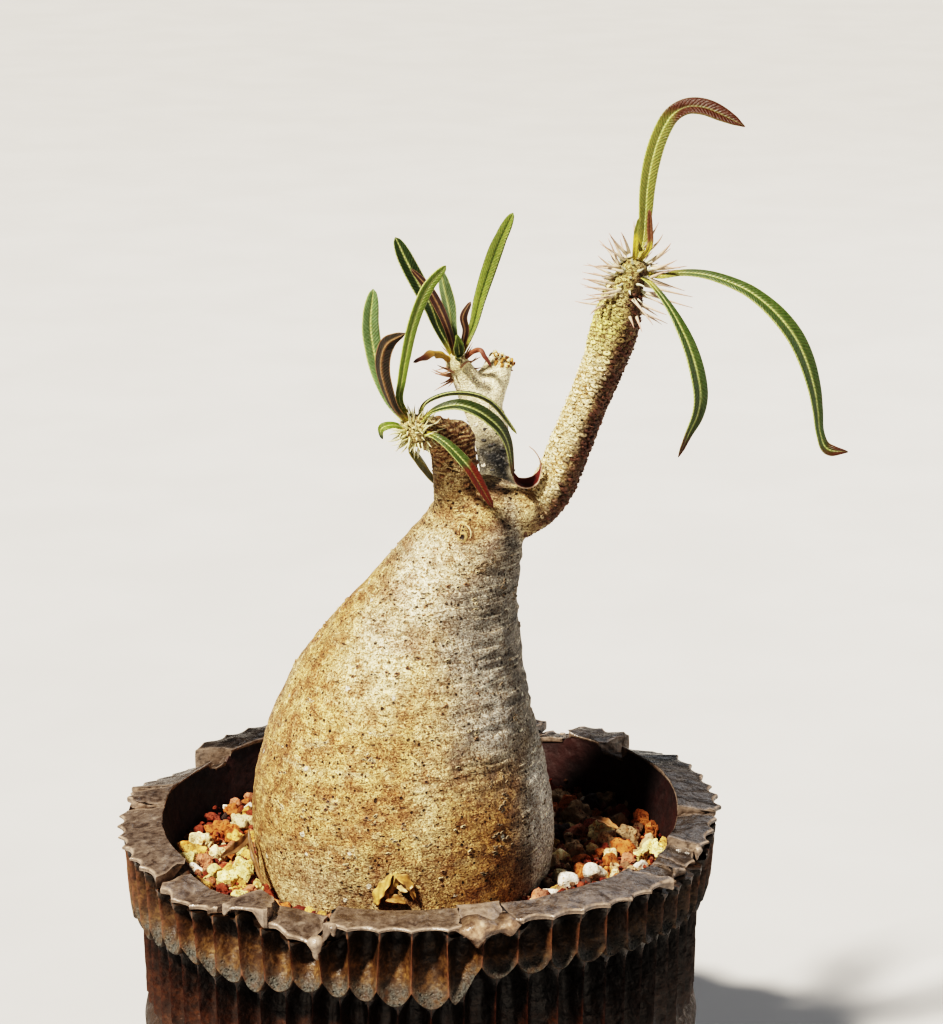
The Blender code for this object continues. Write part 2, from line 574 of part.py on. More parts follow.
def add_stubs(name, line, group):
    """Stubs of old spines up a branch, in a golden-angle spiral."""
    crown = CROWNS[name]
    length = sum((Vector(b[:3]) - Vector(a[:3])).length for a, b in zip(line, line[1:]))
    last_share = 1 - crown["reach"] / length
    for k in range(crown["stubs"]):
        share = STUB_FIRST_SHARE + (last_share - STUB_FIRST_SHARE) * k / crown["stubs"]
        at = int(share * (len(line) - 2))
        here, after = line[at], line[at + 1]
        along = (Vector(after[:3]) - Vector(here[:3])).normalized()
        side = along.orthogonal().normalized()
        side.rotate(Matrix.Rotation(k * GOLDEN_ANGLE, 3, along))
        root = Vector(here[:3]) + side * (here[3] / 2 - STUB_SUNK)
        spike(f"{name}_stub", root, side, STUB_LENGTH, STUB_RADIUS, group)


def add_spines(name, line, group, dice):
    """Spines round the growing tip, level or drooping below and rising towards the top."""
    crown = CROWNS[name]
    centre = Vector(crown["centre"])
    leaves = [smooth_line(leaf_line(leaf), THICK_LEAF_POINTS) for leaf in LEAVES]
    leaves.append(smooth_line(CURL, THICK_LEAF_POINTS))
    tip = Vector(line[-1][:3])
    end_along = (tip - Vector(line[-CROWN_POINTS_BACK][:3])).normalized()
    low, high = -crown["reach"], crown["radius"] * SPINE_TOP_SHARE
    for k in range(crown["spines"]):
        share = k / (crown["spines"] - 1)
        height = low + (high - low) * share
        if height < 0:
            here = min(line, key=lambda p: abs((centre - Vector(p[:3])).length + height))
            foot, radius = Vector(here[:3]), max(here[3] / 2, math.sqrt(max(crown["radius"] ** 2 - height ** 2, 0)))
        else:
            foot, radius = centre + end_along * height, math.sqrt(crown["radius"] ** 2 - height ** 2)
        side = end_along.orthogonal().normalized()
        side.rotate(Matrix.Rotation(k * GOLDEN_ANGLE, 3, end_along))
        rise = math.radians(SPINE_LOWEST_RISE + (SPINE_HIGHEST_RISE - SPINE_LOWEST_RISE) * share ** SPINE_RISE_POWER)
        direction = (side * math.cos(rise) + end_along * math.sin(rise)).normalized()
        length = dice.uniform(*crown["length"]) + SPINE_SUNK
        root = foot + side * (radius - SPINE_SUNK)
        if not near_leaf(root, direction, length, leaves):
            spike(f"{name}_spine", root, direction, length, SPINE_RADIUS, group)


def make_trunk(group):
    """Caudex, branches, crowns, spines and stubs, fused as the one piece they grew as."""
    trunk = caudex_body("trunk", 0.0, group, "trunk")
    grown = collection("grown_on")
    dice = random.Random(SPINE_SEED)
    for name, points in BRANCHES.items():
        tube(f"branch_{name}", smooth_line(points, BRANCH_STATIONS[name]), grown)
    for x, y, z, radius in KNOBS:
        ball("knob", (x, y, z), radius, grown)
    for name, crown in CROWNS.items():
        line = smooth_line(BRANCHES[name], BRANCH_FINE_POINTS)
        ball(f"crown_{name}", crown["centre"], crown["radius"], grown)
        add_stubs(name, line, grown)
        add_spines(name, line, grown, dice)
    combine(trunk, grown)


def blade_mesh(line, faces, thickness):
    """A leaf blade: a grid bent along its midrib, dished a little, and thickened alike on both faces.

    faces says which way its upper face looks, at even steps from root to tip.
    """
    mesh = bmesh.new()
    rows = len(line) - 1
    bmesh.ops.create_grid(mesh, x_segments=2, y_segments=rows, size=1.0)
    for vert in mesh.verts:
        across = vert.co.x
        share = (vert.co.y + 1) / 2
        at = min(max(round(share * rows), 0), rows)
        before, after = line[max(at - 1, 0)], line[min(at + 1, rows)]
        along = (Vector(after[:3]) - Vector(before[:3])).normalized()
        step = min(int(share * (len(faces) - 1)), len(faces) - 2)
        face = Vector(faces[step]).lerp(Vector(faces[step + 1]), share * (len(faces) - 1) - step)
        side = along.cross(face).normalized()
        up = side.cross(along).normalized()
        x, y, z, width = line[at]
        dish = LEAF_DISH * width * abs(across)
        vert.co = (Vector((x, y, z)) + side * across * width / 2 + up * dish) * MM
    bmesh.ops.triangulate(mesh, faces=mesh.faces, quad_method="FIXED")
    data = bpy.data.meshes.new("blade")
    mesh.to_mesh(data)
    mesh.free()
    thing = bpy.data.objects.new("blade", data)
    bpy.context.scene.collection.objects.link(thing)
    shell = thing.modifiers.new("thickness", "SOLIDIFY")
    shell.thickness = thickness * MM
    shell.offset = 0.0
    bpy.context.view_layer.update()
    result = bpy.data.meshes.new_from_object(thing.evaluated_get(bpy.context.evaluated_depsgraph_get()))
    bpy.data.objects.remove(thing)
    mesh = bmesh.new()
    mesh.from_mesh(result)
    bmesh.ops.recalc_face_normals(mesh, faces=mesh.faces)
    return mesh


def make_leaves(group):
    """Every living and dry leaf, each its own piece a hair off the crown that carries it."""
    for name, (_, face_base, face_tip, colour, _) in LEAVES.items():
        add(name, blade_mesh(leaf_line(name), (face_base, face_tip), LEAF_THICKNESS), group, colour)
    curl = blade_mesh(smooth_line(CURL, CURL_POINTS), CURL_FACES, LEAF_THICKNESS)
    add("dry_curl", curl, group, "leaf_dry")


def inner_radius(z):
    """The pot's inner radius at a height, in mm."""
    wall = [*INNER_WALL, (RIM_HIGHEST, RIM_INNER_RADIUS)]
    for (z0, r0), (z1, r1) in zip(wall, wall[1:]):
        if z <= z1:
            return r0 + (r1 - r0) * max(z - z0, 0) / (z1 - z0)
    return RIM_INNER_RADIUS


def plug(name, top, group, colour=None):
    """The pot's inside up to a height, a hair smaller all round."""
    levels = [z for z, _ in INNER_WALL if z < top] + [top]
    levels[0] = SUBSTRATE_FLOOR + GAP
    mesh = bmesh.new()
    rows = loft_rows(mesh, [ring(z, 0, 0, inner_radius(z) - GAP, FLUTES) for z in levels])
    mesh.faces.new(rows[0])
    mesh.faces.new(rows[-1])
    bmesh.ops.recalc_face_normals(mesh, faces=mesh.faces)
    return add(name, mesh, group, colour)


def make_substrate(group):
    """Coarse grains over a filled bed, with a plain hole for the caudex."""
    bed = plug("substrate", SUBSTRATE_LEVEL, group, "substrate")
    dice = random.Random(GRAIN_SEED)
    grains = collection("grains")
    _, x, y, caudex_radius = min(CAUDEX, key=lambda section: abs(section[0] - SUBSTRATE_LEVEL))
    reach = inner_radius(SUBSTRATE_LEVEL) - 1.0
    for k in range(GRAIN_COUNT):
        distance = reach * math.sqrt((k + 0.5) / GRAIN_COUNT)
        turn = k * GOLDEN_ANGLE + dice.uniform(-GRAIN_WANDER, GRAIN_WANDER)
        radius = dice.uniform(*GRAIN_RADIUS)
        squash = [dice.uniform(*span) for span in GRAIN_SQUASH]
        spin = Matrix.Rotation(dice.uniform(0, math.tau), 4, Vector((dice.random(), dice.random(), 1)))
        level = SUBSTRATE_LEVEL + dice.uniform(*GRAIN_LEVELS)
        place = Vector((distance * math.cos(turn), distance * math.sin(turn), level))
        if math.hypot(place.x - x, place.y - y) < caudex_radius - 1.0:
            continue
        mesh = bmesh.new()
        shape = Matrix.Translation(place * MM) @ spin @ Matrix.Diagonal((*squash, 1))
        bmesh.ops.create_icosphere(mesh, subdivisions=1, radius=radius * MM, matrix=shape)
        add("grain", mesh, grains)
    for line in LITTER:
        mesh = blade_mesh(smooth_line(line, LITTER_POINTS), LITTER_FACES, LEAF_THICKNESS)
        add("litter", mesh, grains)
    combine(bed, grains)
    allowed = collection("allowed")
    plug("allowed_space", RIM_LOWEST_INSIDE, allowed)
    combine(bed, allowed, "INTERSECT")
    hole = collection("hole")
    caudex_body("caudex_hole", GAP, hole)
    combine(bed, hole, "DIFFERENCE")
    keep_largest(bed)


def main():
    clear_scene()
    plant = collection("potted_pachypodium")
    make_pot(plant)
    make_trunk(plant)
    make_substrate(plant)
    make_leaves(plant)
    for piece in plant.objects:
        piece.data.shade_smooth()
        piece.data.set_sharp_from_angle(angle=SHARP_ANGLE)


main()
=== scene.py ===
"""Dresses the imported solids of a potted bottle-stemmed plant: torn stoneware pot, coarse grains, bark, spines
and strap leaves. Tables are in mm; the frame is in metres, +Z up, origin at the centre of the pot's foot.
"""

import math

import bmesh
import bpy
import numpy as np
from mathutils import Matrix, Vector
from mathutils.bvhtree import BVHTree


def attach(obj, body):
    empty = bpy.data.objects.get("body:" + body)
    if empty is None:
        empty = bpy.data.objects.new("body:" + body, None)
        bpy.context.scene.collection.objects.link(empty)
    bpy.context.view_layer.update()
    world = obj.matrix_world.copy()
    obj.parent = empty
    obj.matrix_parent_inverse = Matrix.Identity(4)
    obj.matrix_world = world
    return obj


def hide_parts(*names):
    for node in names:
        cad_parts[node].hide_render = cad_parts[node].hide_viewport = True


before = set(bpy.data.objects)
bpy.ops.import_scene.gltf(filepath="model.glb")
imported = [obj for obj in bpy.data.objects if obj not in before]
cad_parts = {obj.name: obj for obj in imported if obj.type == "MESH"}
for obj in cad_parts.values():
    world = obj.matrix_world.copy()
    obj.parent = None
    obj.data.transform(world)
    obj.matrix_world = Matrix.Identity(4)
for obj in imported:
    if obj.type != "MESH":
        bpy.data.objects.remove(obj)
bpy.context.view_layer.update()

MM = 0.001
GOLDEN_ANGLE = math.pi * (3 - math.sqrt(5))
LATTICE = np.random.default_rng(7).random((32, 32, 32))

# The photograph's camera: focal length in pixels, image centre, tilt below the horizon and position in mm
FOCAL = 3000.0
CENTRE = (471.5, 512.0)
TILT = math.radians(15.641)
CAMERA = np.array((10.366, -563.81, 299.553))
FORWARD = np.array((0.0, math.cos(TILT), -math.sin(TILT)))
UPWARD = np.array((0.0, math.sin(TILT), math.cos(TILT)))
SENSOR = 36.0
IMAGE_HEIGHT = 1024

# The pot, in mm
FLUTES = 64
FLUTE_COLUMNS = (0, 0.04, 0.11, 0.2, 0.3, 0.39, 0.46, 0.5, 0.54, 0.61, 0.7, 0.8, 0.89, 0.96)
FLUTE_DRIFT = ((0, 270, 295, 305, 350, 360), (-0.5, -0.5, 2.9, 3.1, -0.5, -0.5))
RIM_INNER_RADIUS = 51.5
# Height and radius of the inner wall below the rim
INNER_WALL = ((6.0, 40.0), (40.0, 46.5), (60.0, 48.3), (64.0, 48.6), (66.0, 48.9), (68.0, 49.3), (70.0, 49.7),
              (72.0, 50.1), (73.6, 50.4))
# Rim: azimuth, height of its inner and its outer edge, and outer radius
RIM = (
    (0, 82.2, 80.6, 60.4), (28, 82.3, 80.9, 60.6), (34, 82.3, 79.4, 60.2), (36.5, 79.6, 77.4, 58.4),
    (41.5, 79.6, 77.4, 58.4), (43, 81.3, 80.8, 60.3), (53, 81.2, 80.4, 60.3), (56, 79.4, 78.6, 57.8),
    (61, 78.6, 78.2, 57.6), (64, 80.2, 79.6, 60.0), (100, 80.7, 80.6, 60.3), (142, 80.7, 80.1, 60.5),
    (144, 78.4, 75.6, 58.8), (147, 78.4, 75.8, 58.6), (149, 80.0, 76.4, 60.0), (158, 80.2, 77.4, 60.0),
    (168, 80.7, 79.7, 60.2), (170, 80.9, 80.4, 60.6), (175, 80.4, 79.4, 59.6), (178, 79.4, 78.6, 60.4),
    (212, 79.8, 78.8, 60.2), (214, 77.3, 77.4, 59.8), (220, 76.4, 76.2, 59.6), (232, 77.8, 77.8, 59.8),
    (234.5, 80.0, 80.1, 60.2), (240.5, 79.8, 80.0, 60.2), (242, 78.4, 77.8, 59.4), (245, 78.6, 77.4, 60.0),
    (251, 77.4, 75.8, 60.0), (253, 77.0, 77.0, 58.6), (254.5, 80.1, 79.5, 60.2), (278, 80.1, 80.0, 60.2),
    (279.5, 80.8, 78.6, 61.0), (286.5, 80.7, 79.0, 61.0), (288, 80.4, 80.3, 60.2), (322, 80.4, 79.3, 60.2),
    (326, 78.6, 77.4, 58.2), (339, 78.8, 77.4, 57.8), (341, 80.4, 80.0, 59.2), (355, 80.4, 80.2, 59.4),
    (357, 82.0, 80.6, 60.4), (360, 82.2, 80.6, 60.4),
)
# Where the upper flutes end: azimuth and height
TONGUE_ENDS = (
    (0, 65.5), (30, 63.0), (150, 62.0), (205, 62.5), (217, 64.0), (228, 62.8), (240, 63.0), (250, 64.8),
    (262, 63.9), (277, 63.0), (281, 68.4), (300, 68.2), (330, 66.5), (360, 65.5),
)
# Each tier's ridge radius at its top and foot, and its floor radius at 0, 45, 80 and 100% of the way down
UPPER_RIDGE, UPPER_FLOOR = (59.3, 58.5), (53.6, 54.9, 56.7, 57.8)
LOWER_RIDGE, LOWER_FLOOR = (56.0, 55.6), (51.4, 52.2, 53.6, 54.4)
FLUTE_LEVELS = (0.0, 0.035, 0.08, 0.13, 0.19, 0.26, 0.33, 0.41, 0.49, 0.57, 0.64, 0.71, 0.77, 0.83, 0.88, 0.92,
                0.955, 0.98, 1.0)
LOWER_TIER_FOOT = 43.6
# The lower tier's glaze redder, and darker as painted shade
LOWER_TIER_PAINTED_SHADE = (0.38, 0.24, 0.19)
BASE_TONE = (0.40, 0.28, 0.22)
# Height and radius of the plain base, and radius and height of the recess under it
PLAIN_BASE = ((42.6, 54.6), (41.0, 55.6), (38.0, 56.2), (31.0, 55.6), (22.0, 53.2), (14.0, 50.6), (7.0, 47.8),
              (1.2, 45.4), (0.0, 44.2))
RECESS = ((40.0, 0.0), (39.2, 0.5), (38.0, 0.5), (38.0, 6.0))
FLOOR_RADIUS, FLOOR_THICKNESS, FLOOR_MIDDLE = 37.9, 5.2, 3.3
HOLES, HOLE_RADIUS, HOLE_CIRCLE = 3, 3.5, 20.0

# Slabs of clay laid round the rim: first and last azimuth, how far each end runs askew across the rim in
# degrees, roll from first to last end in mm, and how much the middle swells in mm
SLABS = (
    (-3, 34, 1.5, -2.0, 0.0, 0.3), (36.5, 41.5, 1.0, 1.0, 0.5, 0.1), (43, 53, -1.5, 1.0, -0.3, 0.2),
    (56, 61, 1.5, -1.0, 0.4, 0.1), (64, 100, -1.0, 1.5, 0.0, 0.3), (101.5, 142, 1.5, 2.0, -0.3, 0.3),
    (144, 147, 0.5, 0.5, 0.3, 0.0), (149, 168, -2.0, 1.5, 0.2, 0.2), (170, 176, 2.0, -1.5, 0.8, 0.1),
    (178, 212, -1.0, 3.5, 0.2, 0.15), (214, 232, 3.5, -3.0, 0.3, 0.2), (234.5, 240.5, -3.0, 3.5, 0.9, 0.1),
    (242, 251, 3.5, -1.0, -0.5, 0.3), (254.5, 278, 0.5, -0.5, 0.0, 0.25), (279.5, 286.5, -0.5, 0.8, 0.1, 1.0),
    (288, 322, 0.8, 4.0, 0.0, 0.2), (326, 331, 3.0, 1.0, 0.9, 0.2), (331.6, 335.4, -2.0, 2.5, -1.1, 0.3),
    (336, 339.5, 1.5, 0.5, 0.8, 0.1), (341, 355, 0.5, 1.0, 0.0, 0.1),
)
PALE_SLAB = 14
# Painted light and shade of the flutes and the slabs round the pot, darker where the light reaches less:
# azimuths and shares
FLUTE_PAINTED_LIGHT = ((0, 120, 200, 272, 290, 320, 360), (0.55, 0.70, 1.0, 1.0, 0.62, 0.50, 0.55))
SLAB_PAINTED_LIGHT = ((0, 40, 80, 130, 150, 180, 240, 300, 330, 360),
             (0.28, 0.30, 0.26, 0.17, 0.32, 1.14, 1.10, 0.94, 0.42, 0.28))
# A slab's section: share across the rim, share of the way down, stand-off in mm, wear with painted highlight on
# the lip, and share of glaze
SLAB_SECTION = (
    (0.0, 0.0, 0.0, 0.5, 1),
    *((across, 0.0, 0.0, 0.0, 1) for across in (0.02, 0.06, 0.16, 0.30, 0.44, 0.58, 0.72, 0.84, 0.93)),
    (0.975, 0.0, 0.0, 0.5, 1), (1.0, 0.0, 0.0, 0.8, 1), (1.0, 0.4, 0.10, 0.10, 1), (1.0, 0.85, 0.05, 0.55, 1),
    (0.985, 1.0, 0.0, 0.2, 1), (0.6, 1.0, 0.0, 0.0, 0.4), (0.2, 1.0, 0.0, 0.0, 0.4),
    (0.02, 1.0, 0.0, 0.0, 0.4), (0.0, 0.75, 0.1, 0.5, 1), (0.0, 0.3, -0.05, 0.5, 1),
)

# Drips of glaze and clay down the ridges: azimuth, width, length and stand-off in mm; then how their width
# changes from the top down
DRIPS = (
    (252.0, 3.2, 4.8, 0.3), (255.4, 1.8, 2.6, 0.0), (122.4, 1.6, 2.4, 0.0),
    (146.0, 1.9, 4.4, 0.0), (168.0, 1.5, 3.0, -0.1), (37.0, 1.8, 3.2, 0.0), (58.0, 2.0, 4.2, 0.0),
    (92.0, 1.5, 2.6, -0.1), (121.5, 1.4, 2.2, -0.1), (340.5, 1.8, 3.0, 0.0), (15.5, 1.5, 2.4, -0.1),
)
DRIP_WIDTHS = np.array((0.55, 0.92, 1.0, 0.86, 0.68, 0.55, 0.52, 0.42, 0.10))

# The lump that hangs over the front of the rim: azimuth, how far it hangs and the height of its top, in mm.
# Its section: radius, share of the hang, swelling in mm and how pale it is: pale clay, with a painted highlight
# on the swell
FOLD = (
    (277.8, 1.4, 79.4), (278.8, 2.6, 80.1), (279.9, 4.0, 80.7), (281.0, 5.5, 80.9), (281.9, 4.6, 80.8),
    (282.8, 2.8, 80.4), (284.2, 1.9, 80.0), (285.4, 2.1, 80.1), (286.4, 3.2, 80.5), (287.3, 3.7, 80.6),
    (288.1, 2.8, 80.3), (288.9, 1.4, 79.6),
)
FOLD_SECTION = (
    (55.6, 0.08, 0.0, 1.0), (57.2, 0.02, 0.0, 1.0), (58.6, -0.02, 0.0, 1.2), (59.5, 0.02, 0.2, 1.9),
    (60.0, 0.12, 0.50, 3.0), (60.1, 0.28, 0.85, 3.5), (60.1, 0.48, 1.00, 3.4), (60.0, 0.70, 0.85, 3.0),
    (59.9, 0.88, 0.50, 2.4), (59.5, 1.0, 0.1, 1.6), (59.0, 0.94, -0.1, 1.0), (58.7, 0.7, -0.1, 0.8),
    (58.2, 0.5, 0.0, 0.8), (55.8, 0.3, 0.0, 0.8),
)


def rng_of(seed):
    """A random generator of its own for each piece of work."""
    return np.random.default_rng(seed)


def noise(points, size, shift=0.0):
    """Smooth noise from -1 to 1 whose features are about size mm wide; size may be one number or three."""
    place = np.asarray(points, float) / np.asarray(size, float) + shift
    cell = np.floor(place).astype(int)
    part = place - cell
    part = part * part * (3 - 2 * part)
    total = np.zeros(len(place))
    for corner in np.ndindex(2, 2, 2):
        weight = np.prod([part[:, k] if corner[k] else 1 - part[:, k] for k in range(3)], axis=0)
        at = [(cell[:, k] + corner[k]) % LATTICE.shape[k] for k in range(3)]
        total += weight * LATTICE[at[0], at[1], at[2]]
    return total * 2 - 1


def smoothstep(low, high, value):
    """A smooth step from 0 at low to 1 at high; high may be the smaller."""
    share = np.clip((np.asarray(value, float) - low) / (high - low), 0, 1)
    return share * share * (3 - 2 * share)


def near(points, centre, reach):
    """1 at a centre in mm, falling smoothly to 0 at that reach, which may differ by axis."""
    away = np.linalg.norm((points - np.asarray(centre, float)) / np.asarray(reach, float), axis=1)
    return 1 - smoothstep(0, 1, away)


def unit(vectors):
    length = np.linalg.norm(vectors, axis=-1, keepdims=True)
    return vectors / np.maximum(length, 1e-9)


def smooth_line(points, count):
    """Samples evenly, by length, along a Catmull-Rom curve through points of any dimension."""
    knots = np.array(points, float)
    knots = np.vstack((2 * knots[0] - knots[1], knots, 2 * knots[-1] - knots[-2]))
    share = np.linspace(0, 1, 25)[:-1, None]
    parts = []
    for k in range(1, len(knots) - 2):
        a, b, c, d = knots[k - 1:k + 3]
        parts.append(0.5 * (2 * b + (c - a) * share + (2 * a - 5 * b + 4 * c - d) * share ** 2
                            + (3 * b - a - 3 * c + d) * share ** 3))
    fine = np.vstack((*parts, knots[-2]))
    reach = np.concatenate(([0], np.cumsum(np.linalg.norm(np.diff(fine[:, :3], axis=0), axis=1))))
    want = np.linspace(0, reach[-1], count)
    return np.column_stack([np.interp(want, reach, fine[:, k]) for k in range(fine.shape[1])])


def stained(mask, points, *stains):
    """A mask raised to each stain's share at its centre, falling to nothing at its reach."""
    for share, centre, reach in stains:
        mask = np.maximum(mask, share * near(points, centre, reach))
    return mask


def ray(px, py):
    """Direction from the camera through a pixel of the photograph."""
    right = np.array((1.0, 0.0, 0.0))
    return unit(FORWARD + right * (px - CENTRE[0]) / FOCAL - UPWARD * (py - CENTRE[1]) / FOCAL)


# Meshes


def grid_faces(rows, columns):
    """Quads of a grid of points, row by row, whose rows close on themselves."""
    faces = []
    for r in range(rows - 1):
        for c in range(columns):
            d = (c + 1) % columns
            faces.append((r * columns + c, r * columns + d, (r + 1) * columns + d, (r + 1) * columns + c))
    return faces


def paint(mesh, label, values):
    """Keeps four numbers for each point of a mesh."""
    layer = mesh.color_attributes.new(label, "FLOAT_COLOR", "POINT")
    layer.data.foreach_set("color", np.asarray(values, np.float32).ravel())


def mesh_of(name, points, faces, colours=None, zones=None):
    """A mesh from points in mm, with a colour and a set of four masks at each."""
    data = bpy.data.meshes.new(name)
    data.from_pydata((np.asarray(points, float) * MM).tolist(), [], faces)
    for label, values in (("tint", colours), ("zones", zones)):
        if values is not None:
            full = np.ones((len(points), 4), np.float32)
            full[:, :np.asarray(values).shape[1]] = values
            paint(data, label, full)
    data.validate()
    return data


def linked(name, data):
    """An object of some data, in the scene."""
    thing = bpy.data.objects.new(name, data)
    bpy.context.scene.collection.objects.link(thing)
    return thing


def piece(name, data, finish, stands_for=(), sharp=None):
    """An object of the part that rides with it and may stand for solids."""
    thing = linked(name, data)
    data.materials.clear()
    data.materials.append(finish)
    data.shade_smooth()
    if sharp is not None:
        data.set_sharp_from_angle(angle=math.radians(sharp))
    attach(thing, "root")
    if stands_for:
        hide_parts(*stands_for)


def evaluated_mesh(thing):
    """The mesh that an object's modifiers make; the object itself goes."""
    bpy.context.view_layer.update()
    mesh = bpy.data.meshes.new_from_object(thing.evaluated_get(bpy.context.evaluated_depsgraph_get()))
    bpy.data.objects.remove(thing)
    return mesh


def solid_of(build):
    """Points and faces of what a bmesh operation builds."""
    shape = bmesh.new()
    build(shape)
    points = np.array([v.co[:] for v in shape.verts])
    faces = [tuple(v.index for v in f.verts) for f in shape.faces]
    shape.free()
    return points, faces


class Bundle:
    """Gathers many small closed meshes into one."""

    def __init__(self):
        self.points, self.faces, self.colours, self.zones = [], [], [], []
        self.count = 0

    def add(self, points, faces, colours=(0, 0, 0), zones=(0, 0, 0, 0)):
        self.points.append(np.asarray(points, float))
        self.faces.extend([tuple(v + self.count for v in face) for face in faces])
        self.colours.append(np.broadcast_to(np.asarray(colours, float), (len(points), 3)))
        self.zones.append(np.broadcast_to(np.asarray(zones, float), (len(points), 4)))
        self.count += len(points)

    def mesh(self, name):
        colours, zones = np.vstack(self.colours), np.vstack(self.zones)
        return mesh_of(name, np.vstack(self.points), self.faces, colours, zones)


def tube_points(line, radii, sides):
    """Rings of points round a line; the frame is carried along so that it does not spin."""
    along = unit(np.gradient(line, axis=0))
    side = np.cross(along[0], (0.3, 0.2, 0.93))
    if np.linalg.norm(side) < 0.1:
        side = np.cross(along[0], (1.0, 0, 0))
    turns = np.arange(sides) * 2 * math.pi / sides
    rings = []
    for k, point in enumerate(line):
        side = unit(side - along[k] * np.dot(side, along[k]))
        other = np.cross(along[k], side)
        rings.append(point + radii[k] * (np.cos(turns)[:, None] * side + np.sin(turns)[:, None] * other))
    return np.vstack(rings)


def tube_faces(rings, sides):
    """Quads round a tube with both ends closed by one face."""
    faces = grid_faces(rings, sides)
    faces.append(tuple(range(sides))[::-1])
    faces.append(tuple(range((rings - 1) * sides, rings * sides)))
    return faces


# Materials


class Finish:
    """A procedural material under construction. Lengths in its textures are in mm."""

    def __init__(self, name, **sockets):
        self.material = bpy.data.materials.new(name)
        self.material.use_nodes = True
        self.tree = self.material.node_tree
        self.shader = self.tree.nodes["Principled BSDF"]
        for label, value in sockets.items():
            self.shader.inputs[label.replace("_", " ")].default_value = value
        place = self.node("ShaderNodeTexCoord").outputs["Object"]
        self.place = self.node("ShaderNodeMapping", {"Vector": place, "Scale": (1000, 1000, 1000)}).outputs[0]

    def node(self, kind, values=None, **settings):
        """A node with its settings, and with each input set or linked."""
        made = self.tree.nodes.new(kind)
        for label, value in settings.items():
            setattr(made, label, value)
        for label, value in (values or {}).items():
            if isinstance(value, bpy.types.NodeSocket):
                self.tree.links.new(value, made.inputs[label])
            else:
                made.inputs[label].default_value = value
        return made

    def stretched(self, scale):
        return self.node("ShaderNodeMapping", {"Vector": self.place, "Scale": scale}).outputs[0]

    def noise(self, size, detail=3.0, rough=0.55, warp=0.0, vector=None):
        """Noise whose features are about size mm wide."""
        inputs = {"Vector": vector or self.place, "Scale": 1 / size, "Detail": detail, "Roughness": rough,
                  "Distortion": warp}
        return self.node("ShaderNodeTexNoise", inputs).outputs[0]

    def warped(self, size, amount, vector):
        """A place pushed about by noise, up to that many mm."""
        cloud = self.node("ShaderNodeTexNoise", {"Vector": vector, "Scale": 1 / size, "Detail": 2.0})
        middle = {0: cloud.outputs["Color"], 1: (0.5, 0.5, 0.5)}
        push = self.node("ShaderNodeVectorMath", middle, operation="SUBTRACT").outputs[0]
        push = self.node("ShaderNodeVectorMath", {0: push, "Scale": 2 * amount}, operation="SCALE").outputs[0]
        return self.node("ShaderNodeVectorMath", {0: vector, 1: push}, operation="ADD").outputs[0]

    def cells(self, size, feature="F1", output="Distance", vector=None):
        """Rounded cells about size mm wide."""
        inputs = {"Vector": vector or self.place, "Scale": 1 / size}
        return self.node("ShaderNodeTexVoronoi", inputs, feature=feature).outputs[output]

    def math(self, kind, a, b=0.0, clamp=False):
        return self.node("ShaderNodeMath", {0: a, 1: b}, operation=kind, use_clamp=clamp).outputs[0]

    def rise(self, value, low, high, start=0.0, end=1.0):
        """A smooth step of value from low to high."""
        inputs = {"Value": value, "From Min": low, "From Max": high, "To Min": start, "To Max": end}
        return self.node("ShaderNodeMapRange", inputs, interpolation_type="SMOOTHSTEP").outputs[0]

    def mix(self, share, a, b, blend="MIX"):
        """Colour a with that share of b, each a colour or a socket."""
        values = {0: share, 6: a if isinstance(a, bpy.types.NodeSocket) else (*a, 1),
                  7: b if isinstance(b, bpy.types.NodeSocket) else (*b, 1)}
        return self.node("ShaderNodeMix", values, data_type="RGBA", blend_type=blend).outputs[2]

    def tint(self):
        return self.node("ShaderNodeAttribute", attribute_name="tint").outputs["Color"]

    def zones(self, label="zones"):
        """Four masks painted on the mesh."""
        made = self.node("ShaderNodeAttribute", attribute_name=label)
        split = self.node("ShaderNodeSeparateColor", {"Color": made.outputs["Color"]})
        return (*split.outputs, made.outputs["Alpha"])

    def times(self, *values):
        """The product of two or more values."""
        product = values[0]
        for value in values[1:]:
            product = self.math("MULTIPLY", product, value)
        return product

    def plus(self, *values):
        """The sum of two or more values, held between 0 and 1."""
        total = values[0]
        for value in values[1:]:
            total = self.math("ADD", total, value, clamp=True)
        return total

    def less(self, value):
        """What is left of 1 without the value."""
        return self.math("SUBTRACT", 1.0, value)

    def layers(self, colour, *coats):
        """Coats laid in turn: mask, low and high of its step, share before and after it, and paint."""
        for mask, low, high, before, after, paint_colour in coats:
            colour = self.mix(self.rise(mask, low, high, before, after), colour, paint_colour)
        return colour

    def dots(self, size, low, high, channel, above, vector=None):
        """A round spot in some of the cells of a size: 1 within low, 0 beyond high."""
        colour = self.cells(size, output="Color", vector=vector)
        chance = self.node("ShaderNodeSeparateColor", {"Color": colour})
        spot = self.rise(self.cells(size, vector=vector), low, high, 1.0, 0.0)
        return self.times(spot, self.math("GREATER_THAN", chance.outputs[channel], above))

    def bump(self, height, depth, below=None, strength=1.0):
        """Relief of that depth in mm."""
        values = {"Height": height, "Distance": depth * MM, "Strength": strength}
        if below is not None:
            values["Normal"] = below
        return self.node("ShaderNodeBump", values).outputs[0]

    def done(self, colour, roughness=None, normal=None):
        self.tree.links.new(colour, self.shader.inputs["Base Color"])
        if roughness is not None:
            self.tree.links.new(roughness, self.shader.inputs["Roughness"])
        if normal is not None:
            self.tree.links.new(normal, self.shader.inputs["Normal"])
        return self.material


